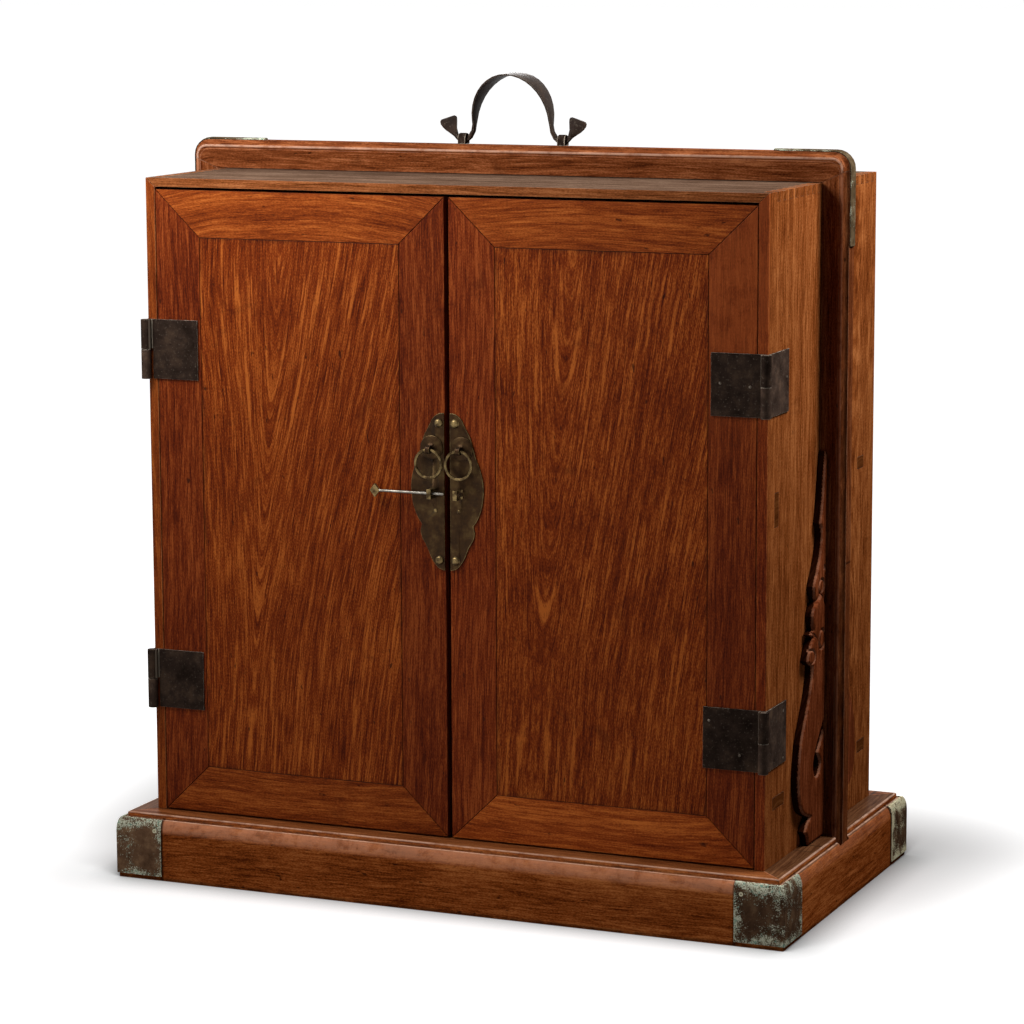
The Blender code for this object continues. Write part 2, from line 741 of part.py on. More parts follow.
def hinge(side, tag, level, at, reach):
    """One hinge: the door leaf carries the upper knuckle, the side leaf the lower one and the pin."""
    pivot = DOOR_PIVOTS[tag]
    axis_x = side * HX
    low = at - HINGE_H / 2
    high = at + HINGE_H / 2
    clear = BARREL_R + SWING

    def span(a, b):
        return min(a, b), max(a, b)

    plate = bmesh.new()
    x0, x1 = span(side * (HX - reach), side * (HX - clear))
    block(plate, x0, x1, FRONT - FIT - HINGE_T, FRONT - FIT, low, high)
    leaf = place("%s_%s_door_leaf" % (tag, level), plate, IRON, pivot)
    tab = bmesh.new()
    x0, x1 = span(side * (HX - 2 * clear), axis_x)
    block(tab, x0, x1, FRONT - FIT - HINGE_T, FRONT - FIT, at + FIT, high)
    join(leaf, tab)
    join(leaf, barrel(at + FIT, high, BARREL_R, axis_x))
    cut(leaf, barrel(low, high + FIT, HINGE_PIN_R + FIT, axis_x))

    plate = bmesh.new()
    x0, x1 = span(side * (HX + FIT), side * (HX + FIT + HINGE_T))
    block(plate, x0, x1, HINGE_Y + clear, FRONT + HINGE_SIDE, low, high)
    leaf = place("%s_%s_side_leaf" % (tag, level), plate, IRON)
    tab = bmesh.new()
    block(tab, x0, x1, HINGE_Y, HINGE_Y + 2 * clear, low, at - FIT)
    join(leaf, tab)
    join(leaf, barrel(low, at - FIT, BARREL_R, axis_x))
    join(leaf, barrel(at - BARREL_R, high, HINGE_PIN_R, axis_x))


hinge(-1, "left", "upper", LEFT_UPPER_Z, HINGE_REACH)
hinge(-1, "left", "lower", LEFT_LOWER_Z, HINGE_REACH)
hinge(1, "right", "upper", RIGHT_UPPER_Z, HINGE_REACH)
hinge(1, "right", "lower", RIGHT_LOWER_Z, LONG_HINGE_REACH)


# Lock plates and their fittings

BOSS_SIDES = 24
SMALL_SIDES = 14
PIN_SIDES = 12
RING_STEPS = 32
WIRE_STEPS = 8


def plate_outline():
    """Outer edge of one half of the lock plate as (share of half width, share of height)."""
    knots = [(0.08, 0, 1), (0.27, 0.017), (0.45, 0.075), (0.58, 0.150), (0.71, 0.205), (0.745, 0.250)]
    knots += [(0.71, 0.290, 1), (0.84, 0.340), (0.96, 0.425), (1.0, 0.535), (0.935, 0.630), (0.79, 0.725)]
    knots += [(0.725, 0.780), (0.64, 0.850), (0.51, 0.910), (0.39, 0.965), (0.22, 0.996), (0.08, 1, 1)]
    return spline(knots, 3)


def lock_fittings(side, tag):
    pivot = DOOR_PIVOTS[tag]
    foot = PLATE_Z - PLATE_H / 2
    outline = [(side * u * PLATE_W, foot + v * PLATE_H) for u, v in plate_outline()]
    sheet = prism(bmesh.new(), outline, "y", PLATE_FACE, FRONT - FIT)
    plate = place("%s_lock_plate" % tag, sheet, BRASS, pivot)

    sunk = PLATE_T / 2
    heads = [(RIVET_X, foot + RIVET_IN, RIVET_R, RIVET_H)]
    heads.append((RIVET_X, foot + PLATE_H - RIVET_IN, RIVET_R, RIVET_H))
    heads.append((STUD_X, STUD_Z, STUD_R, STUD_H))
    for x, z, radius, high in heads:
        dome = [(radius, sunk), (radius, 0), (radius * 0.94, -high * 0.42)]
        dome += [(radius * 0.72, -high * 0.76), (radius * 0.32, -high)]
        join(plate, turned(bmesh.new(), dome, (side * x, PLATE_FACE, z), "y", SMALL_SIDES))

    near = PLATE_FACE + sunk
    far = PLATE_FACE - STAPLE_OUT
    top = STAPLE_Z + STAPLE_HIGH / 2
    base = STAPLE_Z - STAPLE_HIGH / 2
    bridge = far + STAPLE_STRIP
    loop = [(near, base), (near, base + STAPLE_LEG), (bridge, base + STAPLE_LEG)]
    loop += [(bridge, top - STAPLE_LEG), (near, top - STAPLE_LEG), (near, top), (far, top), (far, base)]
    x0 = side * STAPLE_X - STAPLE_W / 2
    join(plate, prism(bmesh.new(), loop, "x", x0, x0 + STAPLE_W))

    seat = PLATE_FACE - FIT
    boss_x = side * RING_X
    dish = [(BOSS_R, 0), (BOSS_R, -BOSS_H * 0.30), (BOSS_R * 0.86, -BOSS_H * 0.62)]
    dish += [(BOSS_R * 0.66, -BOSS_H * 0.55), (BOSS_R * 0.45, -BOSS_H * 0.92), (BOSS_R * 0.20, -BOSS_H)]
    cup = turned(bmesh.new(), dish, (boss_x, seat, BOSS_Z), "y", BOSS_SIDES)
    boss = place("%s_ring_post" % tag, cup, BRASS, pivot)
    shank_top = RING_AXIS_Z + EYE_R
    eye = [(seat - BOSS_H * 0.4, shank_top), (seat - BOSS_H * 0.4, RING_AXIS_Z)]
    eye += arc(RING_Y, RING_AXIS_Z, EYE_R, -30, -270, 12)
    join(boss, prism(bmesh.new(), eye, "x", boss_x - EYE_W / 2, boss_x + EYE_W / 2))
    hole = [(EYE_HOLE, -EYE_W), (EYE_HOLE, EYE_W)]
    cut(boss, turned(bmesh.new(), hole, (boss_x, RING_Y, RING_AXIS_Z), "x", SMALL_SIDES))


def ring_pull(side, tag):
    """A wire ring hung by its top in the eye of its post."""
    pivot = DOOR_PIVOTS[tag]
    at = (side * RING_X, RING_Y, RING_AXIS_Z)
    centre = (at[0], at[1], at[2] - RING_R)
    bm = bmesh.new()
    rows = []
    for i in range(RING_STEPS):
        a = 2 * math.pi * i / RING_STEPS
        row = []
        for j in range(WIRE_STEPS):
            b = 2 * math.pi * j / WIRE_STEPS
            radius = RING_R + RING_WIRE * math.cos(b)
            x = centre[0] + radius * math.sin(a)
            z = centre[2] + radius * math.cos(a)
            row.append(bm.verts.new((x, centre[1] + RING_WIRE * math.sin(b), z)))
        rows.append(row)
    for i in range(RING_STEPS):
        for j in range(WIRE_STEPS):
            k = (i + 1) % RING_STEPS
            m = (j + 1) % WIRE_STEPS
            bm.faces.new((rows[i][j], rows[k][j], rows[k][m], rows[i][m]))
    place("%s_ring" % tag, bm, BRASS, pivot, at, smooth=True)


for side, tag in ((-1, "left"), (1, "right")):
    lock_fittings(side, tag)
    ring_pull(side, tag)

PIN_TIP_X = -PIN_TIP_SHORT
PIN_TAIL_X = PIN_TIP_X - PIN_LENGTH
shaft = [(PIN_R, 0), (PIN_R, PIN_LENGTH - PIN_R), (PIN_R * 0.5, PIN_LENGTH)]
rod = turned(bmesh.new(), shaft, (PIN_TAIL_X, PIN_Y, PIN_Z), "x", PIN_SIDES)
lock_pin = place("lock_pin", rod, BRASS, DOOR_PIVOTS["left"], (PIN_TIP_X, PIN_Y, PIN_Z))
diamond = [(PIN_TAIL_X - PIN_HEAD_W / 2, PIN_Z), (PIN_TAIL_X, PIN_Z - PIN_HEAD_H / 2)]
diamond += [(PIN_TAIL_X + PIN_HEAD_W / 2, PIN_Z), (PIN_TAIL_X, PIN_Z + PIN_HEAD_H / 2)]
head = prism(bmesh.new(), diamond, "y", PIN_Y - PIN_HEAD_T / 2, PIN_Y + PIN_HEAD_T / 2)
join(lock_pin, head)


# Bail handle

for side, tag in ((-1, "left"), (1, "right")):
    seat = FRAME_TOP + FIT
    band = [(BAIL_EYE_R, seat)] + arc(0, BAIL_Z, BAIL_EYE_R, 0, 180, 10)
    band += [(-BAIL_EYE_R, seat), (-BAIL_EYE_HOLE, seat)]
    band += arc(0, BAIL_Z, BAIL_EYE_HOLE, 180, 0, 8) + [(BAIL_EYE_HOLE, seat)]
    x0 = side * BAIL_EYE_X - BAIL_EYE_W / 2
    place("bail_%s_eye" % tag, prism(bmesh.new(), band, "x", x0, x0 + BAIL_EYE_W), IRON)


BAIL_STEPS = 9
BAIL_TAPER = 1.7


def bail_stations():
    """Right half from the crown to the end: (x, z above the axis, half in the arch's plane, half across)."""
    grip_t = BAIL_GRIP_T / 2
    grip_w = BAIL_GRIP_W / 2
    leg_w = BAIL_LEG_W / 2
    neck = BAIL_NECK / 2
    fan_t = BAIL_FAN_T / 2
    fan_w = BAIL_FAN_W / 2
    top = BAIL_LEG
    rows = []
    for k in range(BAIL_STEPS + 1):
        share = k / BAIL_STEPS
        a = math.radians(90 * (1 - share))
        rows.append((BAIL_ARCH_X * math.cos(a), top + BAIL_ARCH_H * math.sin(a), grip_t,
                     grip_w - (grip_w - leg_w) * share ** BAIL_TAPER))
    eye = BAIL_EYE_X
    lean = eye - BAIL_ARCH_X
    rows.append((BAIL_ARCH_X + lean * 0.015, top * 0.82, grip_t * 1.15, leg_w * 0.72))
    rows.append((BAIL_ARCH_X + lean * 0.108, top * 0.46, neck * 0.85, neck * 1.2))
    rows.append((BAIL_ARCH_X + lean * 0.385, top * 0.14, neck * 0.95, neck * 1.1))
    for way in (-1, 1):
        ends = [BAIL_EYE_W / 2 + BAIL_NECK_RUN, BAIL_EYE_W / 2 + FIT]
        for reach in ends[::-way]:
            rows.append((eye + way * reach, 0.0, neck, neck))
    fan = [(0.476, 0.199, neck * 1.05, neck * 0.9), (0.640, 0.385, fan_w * 0.47, fan_t * 1.3)]
    fan += [(0.755, 0.540, fan_w * 0.71, fan_t * 1.1), (0.850, 0.690, fan_w * 0.89, fan_t)]
    fan += [(0.927, 0.835, fan_w, fan_t), (0.976, 0.940, fan_w * 0.96, fan_t)]
    fan += [(1.0, 1.0, fan_w * 0.78, fan_t * 0.9)]
    for run, rise, a, b in fan:
        rows.append((eye + run * BAIL_FAN_RUN, rise * BAIL_FAN_RISE, a, b))
    return rows


def bail():
    """A flat strip bent to an arch, drawn to round necks in the eyes and hammered out at the ends."""
    half = bail_stations()
    line = [(-x, z, a, b) for x, z, a, b in half[:0:-1]] + half
    rings = []
    for i, (x, z, a, b) in enumerate(line):
        before = Vector(line[max(i - 1, 0)][:2])
        after = Vector(line[min(i + 1, len(line) - 1)][:2])
        run = (after - before).normalized()
        if z == 0:
            run = Vector((1, 0))
        side = Vector((-run.y, run.x))
        ring = []
        for k in range(8):
            turn = math.radians(22.5 + 45 * k)
            u = max(-1, min(1, 1.3 * math.cos(turn))) * a
            v = max(-1, min(1, 1.3 * math.sin(turn))) * b
            ring.append((x + side.x * u, v, BAIL_Z + z + side.y * u))
        rings.append(ring)
    place("bail_handle", loft(bmesh.new(), rings), IRON, None, (0, 0, BAIL_Z), smooth=True)


bail()
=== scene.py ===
"""Looks of the two-door book chest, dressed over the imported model.

Units are metres in the part's own frame: the floor is z = 0 and the doors face -Y.
"""
import json
import math

import bmesh
import bpy
import numpy as np
from mathutils import Matrix, Vector

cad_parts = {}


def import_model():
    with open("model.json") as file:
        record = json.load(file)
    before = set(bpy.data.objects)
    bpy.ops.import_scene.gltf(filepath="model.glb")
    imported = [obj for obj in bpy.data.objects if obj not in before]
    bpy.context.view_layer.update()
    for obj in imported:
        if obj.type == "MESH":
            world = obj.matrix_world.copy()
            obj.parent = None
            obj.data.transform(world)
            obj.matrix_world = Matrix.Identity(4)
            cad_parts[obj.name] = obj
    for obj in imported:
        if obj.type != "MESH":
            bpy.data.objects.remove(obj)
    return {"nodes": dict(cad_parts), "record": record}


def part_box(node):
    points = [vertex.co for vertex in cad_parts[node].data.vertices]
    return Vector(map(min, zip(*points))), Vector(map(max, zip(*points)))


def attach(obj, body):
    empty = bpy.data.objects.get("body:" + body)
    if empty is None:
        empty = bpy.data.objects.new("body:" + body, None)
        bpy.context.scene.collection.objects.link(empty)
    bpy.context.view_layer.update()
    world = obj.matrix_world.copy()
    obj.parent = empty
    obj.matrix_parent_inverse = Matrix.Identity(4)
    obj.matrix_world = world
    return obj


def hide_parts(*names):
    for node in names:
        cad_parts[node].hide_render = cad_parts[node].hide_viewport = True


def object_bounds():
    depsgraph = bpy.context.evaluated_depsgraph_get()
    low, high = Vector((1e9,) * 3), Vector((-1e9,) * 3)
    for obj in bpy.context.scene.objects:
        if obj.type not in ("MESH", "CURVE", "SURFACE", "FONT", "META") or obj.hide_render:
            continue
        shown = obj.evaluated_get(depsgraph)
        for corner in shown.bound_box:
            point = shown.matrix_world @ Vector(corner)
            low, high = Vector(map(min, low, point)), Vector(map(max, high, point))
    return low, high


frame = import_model()
CAD_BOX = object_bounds()
BODY_OF = {node: body for body, nodes in frame["record"]["behaviour"]["bodies"].items() for node in nodes}

# Camera, fitted to the photograph's corners
CAMERA_AT = (1.3235, -3.0804, 0.8934)
CAMERA_YAW = 0.4065
CAMERA_PITCH = 0.1608
CAMERA_ROLL = -0.0041
CAMERA_LENS = 124.25
CAMERA_SENSOR = 36.0

# Mesh copies: points closer than this are one, faces flatter than this are one
WELD = 0.00001
FLAT = math.radians(1.0)
# Edges sharper than this, in degrees, are rounded
EDGE_ANGLE = 40.0
# A face looks along an axis where its normal has this share there
FACING = 0.8
# Gap that the model keeps between pieces that touch
FIT = 0.0003

AXES = {"x": 0, "y": 1, "z": 2}


# Node building

class Nodes:
    """A node tree with short ways to add the few node kinds used here."""

    def __init__(self, tree):
        self.tree = tree
        tree.nodes.clear()

    def feed(self, socket, value):
        """Link a socket to another node's output, or set it to a constant."""
        if isinstance(value, bpy.types.NodeSocket):
            self.tree.links.new(value, socket)
        elif isinstance(value, tuple) and len(value) == 3 and socket.type == "RGBA":
            socket.default_value = (*value, 1.0)
        else:
            socket.default_value = value

    def node(self, kind, inputs=None, **settings):
        """A node of a kind, with some inputs, by name or place, linked or set."""
        made = self.tree.nodes.new(kind)
        for key, value in settings.items():
            setattr(made, key, value)
        for key, value in (inputs or {}).items():
            self.feed(made.inputs[key], value)
        return made

    def math(self, operation, a, b=0.0):
        return self.node("ShaderNodeMath", {0: a, 1: b}, operation=operation).outputs[0]

    def total(self, offset, *pairs):
        """An offset plus each value times its weight."""
        result = offset
        for value, weight in pairs:
            parts = {0: value, 1: weight, 2: result}
            result = self.node("ShaderNodeMath", parts, operation="MULTIPLY_ADD").outputs[0]
        return result

    def far(self, a, b):
        """How far away a point is that lies a one way and b square to it."""
        squares = [(self.math("MULTIPLY", side, side), 1.0) for side in (a, b)]
        return self.math("SQRT", self.total(0.0, *squares))

    def least(self, *values):
        result = values[0]
        for value in values[1:]:
            result = self.math("MINIMUM", result, value)
        return result

    def mix(self, share, a, b):
        return self.node("ShaderNodeMix", {0: share, 6: a, 7: b}, data_type="RGBA").outputs[2]

    def span(self, value, low, high, to_low=0.0, to_high=1.0):
        """Map a range of values to another, smoothly and clamped."""
        ends = {"Value": value, "From Min": low, "From Max": high, "To Min": to_low, "To Max": to_high}
        return self.node("ShaderNodeMapRange", ends, interpolation_type="SMOOTHSTEP").outputs["Result"]

    def noise(self, vector, scale, detail=3.0, rough=0.55, distortion=0.0):
        facts = {"Vector": vector, "Scale": scale, "Detail": detail, "Roughness": rough,
                 "Distortion": distortion}
        return self.node("ShaderNodeTexNoise", facts, noise_dimensions="3D").outputs["Fac"]

    def noise_line(self, value, scale, detail=2.0, rough=0.6):
        facts = {"W": value, "Scale": scale, "Detail": detail, "Roughness": rough}
        return self.node("ShaderNodeTexNoise", facts, noise_dimensions="1D").outputs["Fac"]

    def ramp(self, value, places, colours):
        """Colours that blend from each place in the value's range to the next."""
        made = self.node("ShaderNodeValToRGB", {0: value})
        elements = made.color_ramp.elements
        while len(elements) < len(places):
            elements.new(0.5)
        for element, place, colour in zip(elements, places, colours):
            element.position = place
            element.color = (*colour, 1.0)
        return made.outputs["Color"]

    def stretch(self, u, v, u_scale, v_scale, seed, depth=None):
        """A noise vector that runs at one scale along u, and along a depth, and at another along v."""
        third = seed if depth is None else self.total(seed, (depth, u_scale))
        parts = {0: self.math("MULTIPLY", u, u_scale), 1: self.math("MULTIPLY", v, v_scale), 2: third}
        return self.node("ShaderNodeCombineXYZ", parts).outputs[0]


class Graph(Nodes):
    """A piece's material: its shader, and where a point lies in the part's frame."""

    def __init__(self, name):
        self.material = bpy.data.materials.new(name)
        self.material.use_nodes = True
        super().__init__(self.material.node_tree)
        self.shader = self.node("ShaderNodeBsdfPrincipled")
        self.node("ShaderNodeOutputMaterial", {"Surface": self.shader.outputs["BSDF"]})
        self.where = self.node("ShaderNodeTexCoord").outputs["Object"]
        self.parts = tuple(self.node("ShaderNodeSeparateXYZ", {0: self.where}).outputs)
        self.x, self.y, self.z = self.parts

    def bump(self, height, strength, distance):
        made = self.node("ShaderNodeBump", {"Height": height, "Strength": strength, "Distance": distance})
        self.feed(self.shader.inputs["Normal"], made.outputs[0])

    def set(self, **values):
        for key, value in values.items():
            self.feed(self.shader.inputs[key.replace("_", " ")], value)


# Wood

TONES = {
    "door": ((0.040, 0.0048, 0.0009), (0.128, 0.0195, 0.0025), (0.290, 0.0720, 0.0110)),
    "stile": ((0.036, 0.0042, 0.0009), (0.104, 0.0152, 0.0026), (0.205, 0.0440, 0.0085)),
    "rail": ((0.056, 0.0075, 0.0012), (0.157, 0.0290, 0.0042), (0.300, 0.0770, 0.0130)),
    "side": ((0.066, 0.0140, 0.0030), (0.164, 0.0435, 0.0098), (0.290, 0.0990, 0.0290)),
    "top": ((0.045, 0.0105, 0.0026), (0.150, 0.0430, 0.0115), (0.270, 0.0960, 0.0330)),
    "dust": ((0.030, 0.0140, 0.0080), (0.074, 0.0420, 0.0265), (0.150, 0.0950, 0.0640)),
    "plinth": ((0.060, 0.0105, 0.0018), (0.192, 0.0435, 0.0080), (0.335, 0.1030, 0.0260)),
    "frame": ((0.036, 0.0070, 0.0020), (0.130, 0.0330, 0.0095), (0.260, 0.0880, 0.0320)),
    "carved": ((0.040, 0.0072, 0.0020), (0.105, 0.0230, 0.0068), (0.200, 0.0550, 0.0200)),
    "inner": ((0.050, 0.0170, 0.0060), (0.130, 0.0480, 0.0190), (0.240, 0.1050, 0.0450)),
    "end": ((0.050, 0.0120, 0.0024), (0.128, 0.0335, 0.0072), (0.210, 0.0680, 0.0180)),
}
SHEEN = {"door": 0.03, "stile": 0.03, "rail": 0.03, "top": 0.01, "inner": 0.01}
# How strongly each layer of the grain shows, and where some kinds differ
LAYERS = {"broad": 0.50, "bands": 0.40, "streaks": 0.85, "fibres": 1.2, "specks": 0.75, "cloud": 0.60,
          "gold": 0.20}
KIND_LAYERS = {
    "door": {"broad": 0.36, "bands": 0.20, "streaks": 0.96, "fibres": 1.55, "specks": 0.95, "gold": 0.36},
    "stile": {"streaks": 0.95, "fibres": 1.6, "specks": 0.85},
    "rail": {"streaks": 0.80},
    "side": {"fibres": 1.7, "specks": 1.05},
    "plinth": {"broad": 0.35, "bands": 0.20, "streaks": 0.60, "fibres": 1.3, "specks": 0.95, "cloud": 1.1},
}
# Noises of the grain, as scales across the growth lines and along the grain
SWAY = (14.0, 4.5)
DIP = (9.0, 3.0)
STREAKS = (330.0, 12.0)
FIBRES = (980.0, 42.0)
SPECKS = (1350.0, 480.0)
GOLD = (260.0, 10.0)
PORES = (1300.0, 150.0)
FLECKS = (240.0, 75.0)
# Scales of the growth lines, of clouds and of stains, and how far the lines sway and fray, in metres
BROAD_SCALE = 62.0
BANDS_SCALE = 300.0
CLOUD_SCALE = 8.0
STAIN_SCALE = 23.0
SWAY_BY = 0.010
FRAY_BY = 0.012
# How far pores, stains, flecks and the darkening near borders take the colour to their own
PORE_SHARE = 0.45
STAIN_SHARE = 0.45
FLECK_SHARE = 0.75
DARKENING_SHARE = 0.75
# Where along a board, from its centre, its arches rise
RISE_FROM = -0.42
RISE_TO = 0.06
# Where in the grain's range its dark, middle and light tones lie
TONE_PLACES = (0.06, 0.50, 0.94)
# How far from a border the wood grows darker
DARKENING_REACH = 0.011
# Near black: soot, flecks and dark joints, and also painted shade in grooves, at the foot and beside parts
SOOT_AND_SHADE = (0.006, 0.002, 0.001)
# Rubbed wood on edges, which also stands in for a painted highlight there
RUBBED_AND_HIGHLIGHT = (0.48, 0.25, 0.155)
# Painted highlight on arrises and beads
PAINTED_HIGHLIGHT = (0.78, 0.50, 0.36)
# Painted sheen on rounded shoulders and beads
PAINTED_SHEEN = (0.56, 0.245, 0.135)


class Figure:
    """How a board was cut: its grain axis, its face, and how the lines run about the tree's heart.

    Heart is the roundness of the arches, rise how far the lines spread upwards, lean their slant, fan how
    they widen, aside how far off the heart lies, bend their curve and dip their waves.
    """

    def __init__(self, along, across, depth, centre, heart=0.03, rise=0.0, lean=0.0, fan=0.0, aside=0.0,
                 bend=0.0, dip=0.018, seed=0.0):
        self.axes = (AXES[along], AXES[across], AXES[depth])
        self.centre = centre
        self.heart = heart
        self.rise = rise
        self.lean = lean
        self.fan = fan
        self.aside = aside
        self.bend = bend
        self.dip = dip
        self.seed = seed


def grain(g, figure):
    """Distance across the growth lines, and the place along the grain, across it and in its depth."""
    along, across, depth = (g.math("SUBTRACT", g.parts[i], figure.centre[i]) for i in figure.axes)
    sway = g.noise(g.stretch(across, along, *SWAY, figure.seed), 1.0, 2.0)
    dip = g.noise(g.stretch(across, along, *DIP, figure.seed + 7.3), 1.0, 2.0)
    side = g.total(-figure.aside, (across, 1.0), (along, -figure.lean))
    if figure.bend:
        side = g.total(side, (g.math("MULTIPLY", along, along), figure.bend))
    if figure.fan:
        side = g.math("MULTIPLY", side, g.total(1.0, (along, -figure.fan)))
    side = g.total(side, (g.math("SUBTRACT", sway, 0.5), SWAY_BY))
    arch = g.math("SQRT", g.total(figure.heart ** 2, (g.math("MULTIPLY", side, side), 1.0)))
    radius = g.total(arch, (depth, 1.0), (g.math("SUBTRACT", dip, 0.5), figure.dip))
    if figure.rise:
        radius = g.math("ADD", radius, g.span(along, RISE_FROM, RISE_TO, figure.rise, 0.0))
    return radius, along, across, depth


def wood(name, kind, figure, wear=0.0, dark=0.0, darkening=None, shade=1.0, marks=()):
    """Oiled hardwood of one kind.

    Wear lightens it as on a rubbed edge and paints a highlight there too, dark sinks it as in a joint,
    darkening is a function of the graph for the distance from borders near which it is darker in patches,
    and shade is how light this board is beside others of its kind. Marks are lines gone pale or dark, some
    of them painted highlights, sheen and shade, each with such a function, a half width, a share and a
    colour.
    a colour.
    """
    g = Graph(name)
    radius, along, across, depth = grain(g, figure)
    seed = figure.seed
    streaks = g.noise(g.stretch(radius, along, *STREAKS, seed + 2.1), 1.0, 3.0, 0.6)
    ragged = g.total(radius, (g.math("SUBTRACT", streaks, 0.5), FRAY_BY))
    broad = g.noise_line(g.math("ADD", ragged, seed), BROAD_SCALE)
    bands = g.noise_line(g.math("ADD", ragged, seed + 3.0), BANDS_SCALE)
    fibres = g.noise(g.stretch(radius, along, *FIBRES, seed + 4.7), 1.0, 2.0, 0.6)
    specks = g.noise(g.stretch(across, along, *SPECKS, seed + 6.1, depth), 1.0, 1.0, 0.5)
    gold = g.span(g.noise(g.stretch(radius, along, *GOLD, seed + 8.4), 1.0, 2.0, 0.5), 0.56, 0.70)
    pores = g.span(g.noise(g.stretch(across, along, *PORES, seed + 9.2, depth), 1.0, 1.0, 0.5), 0.60, 0.72)
    cloud = g.noise(g.where, CLOUD_SCALE, 3.0, 0.6)
    weigh = {**LAYERS, **KIND_LAYERS.get(kind, {})}
    layers = ((broad, weigh["broad"]), (bands, weigh["bands"]), (streaks, weigh["streaks"]),
              (fibres, weigh["fibres"]), (specks, weigh["specks"]), (cloud, weigh["cloud"]))
    middle = sum(weight for _, weight in layers) / 2
    value = g.total(0.48 - middle, (gold, weigh["gold"]), *layers)
    tones = [tuple(shade * part for part in tone) for tone in TONES[kind]]
    low = tones[0]
    colour = g.ramp(value, TONE_PLACES, tones)
    colour = g.mix(g.math("MULTIPLY", pores, PORE_SHARE), colour, low)
    stain = g.span(g.noise(g.where, STAIN_SCALE, 4.0, 0.65, 0.6), 0.60, 0.74)
    colour = g.mix(g.math("MULTIPLY", stain, STAIN_SHARE), colour, low)
    fleck = g.span(g.noise(g.stretch(across, along, *FLECKS, seed + 5.5), 1.0, 2.0, 0.5), 0.70, 0.76)
    colour = g.mix(g.math("MULTIPLY", fleck, FLECK_SHARE), colour, SOOT_AND_SHADE)
    # Darker in patches near the borders whose distance darkening gives
    if darkening:
        patch = g.span(g.noise(g.where, 30.0, 3.0, 0.6), 0.38, 0.62)
        darker = g.math("MULTIPLY", g.span(darkening(g), 0.0, DARKENING_REACH, DARKENING_SHARE, 0.0), patch)
        colour = g.mix(darker, colour, SOOT_AND_SHADE)
    rub = g.span(g.noise(g.where, 60.0, 4.0, 0.7), 0.30, 0.60)
    for distance, half, share, tone in marks:
        near = g.span(distance(g), 0.35 * half, half, share, 0.0)
        colour = g.mix(g.math("MULTIPLY", near, g.span(rub, 0.0, 1.0, 0.45, 1.0)), colour, tone)
    # Lighter edges: rubbed wood and a painted highlight
    if wear:
        colour = g.mix(g.math("MULTIPLY", rub, wear), colour, RUBBED_AND_HIGHLIGHT)
    if dark:
        soil = g.span(g.noise(g.where, 60.0, 3.0, 0.6), 0.20, 0.60, 0.6, 1.0)
        colour = g.mix(g.math("MULTIPLY", soil, dark), colour, SOOT_AND_SHADE)
    g.set(Base_Color=colour, Specular_IOR_Level=SHEEN.get(kind, 0.0))
    g.set(Roughness=g.span(value, 0.1, 0.9, 0.50, 0.38))
    g.bump(g.total(0.0, (fibres, 1.0), (pores, -0.8)), 0.12, 0.0003)
    return g.material


# Metal

# Tones in the order in which a noise runs through them, and the tones of flecks and of rubbed metal
BRONZE_PLACES = (0.30, 0.52, 0.75)
BRONZE_TONES = ((0.0085, 0.0052, 0.0038), (0.0200, 0.0125, 0.0092), (0.046, 0.0280, 0.0180))
BRONZE_FLECK = (0.075, 0.058, 0.044)
# Rubbed bronze, which on edges also stands in for a painted highlight
BRONZE_RUBBED_AND_HIGHLIGHT = (0.36, 0.300, 0.235)
BRASS_PLACES = (0.28, 0.52, 0.76)
BRASS_TONES = ((0.0075, 0.0034, 0.0015), (0.0205, 0.0098, 0.0034), (0.052, 0.0310, 0.0110))
BRASS_FLECK = (0.075, 0.052, 0.026)
BRASS_RUBBED = (0.36, 0.255, 0.105)
STEEL_PLACES = (0.25, 0.55, 0.80)
STEEL_TONES = ((0.045, 0.040, 0.033), (0.135, 0.122, 0.102), (0.30, 0.280, 0.245))
PATINA_PLACES = (0.28, 0.52, 0.78)
MOUNT_BROWN = ((0.022, 0.0112, 0.0064), (0.058, 0.0300, 0.0165), (0.130, 0.0760, 0.0400))
MOUNT_LIGHT = ((0.040, 0.0205, 0.0110), (0.100, 0.0530, 0.0290), (0.200, 0.1200, 0.0640))
STRAP_OLIVE = ((0.018, 0.0120, 0.0062), (0.056, 0.0370, 0.0195), (0.130, 0.0950, 0.0560))
CRUST_PLACES = (0.30, 0.42, 0.51, 0.57, 0.64, 0.76)
CRUST_TONES = ((0.050, 0.042, 0.024), (0.150, 0.142, 0.088), (0.52, 0.515, 0.400), (0.200, 0.230, 0.165),
               (0.085, 0.215, 0.170), (0.56, 0.620, 0.520))
CRUST_CREAM = (0.62, 0.510, 0.290)
# A flush nail in a mount: where its dark head and its bright rim end, and their tones
FLUSH_HEAD = (0.0004, 0.0010)
FLUSH_RIM = (0.0016, 0.0024)
HEAD_TONE = (0.030, 0.022, 0.012)
RIM_TONE = (0.52, 0.480, 0.330)


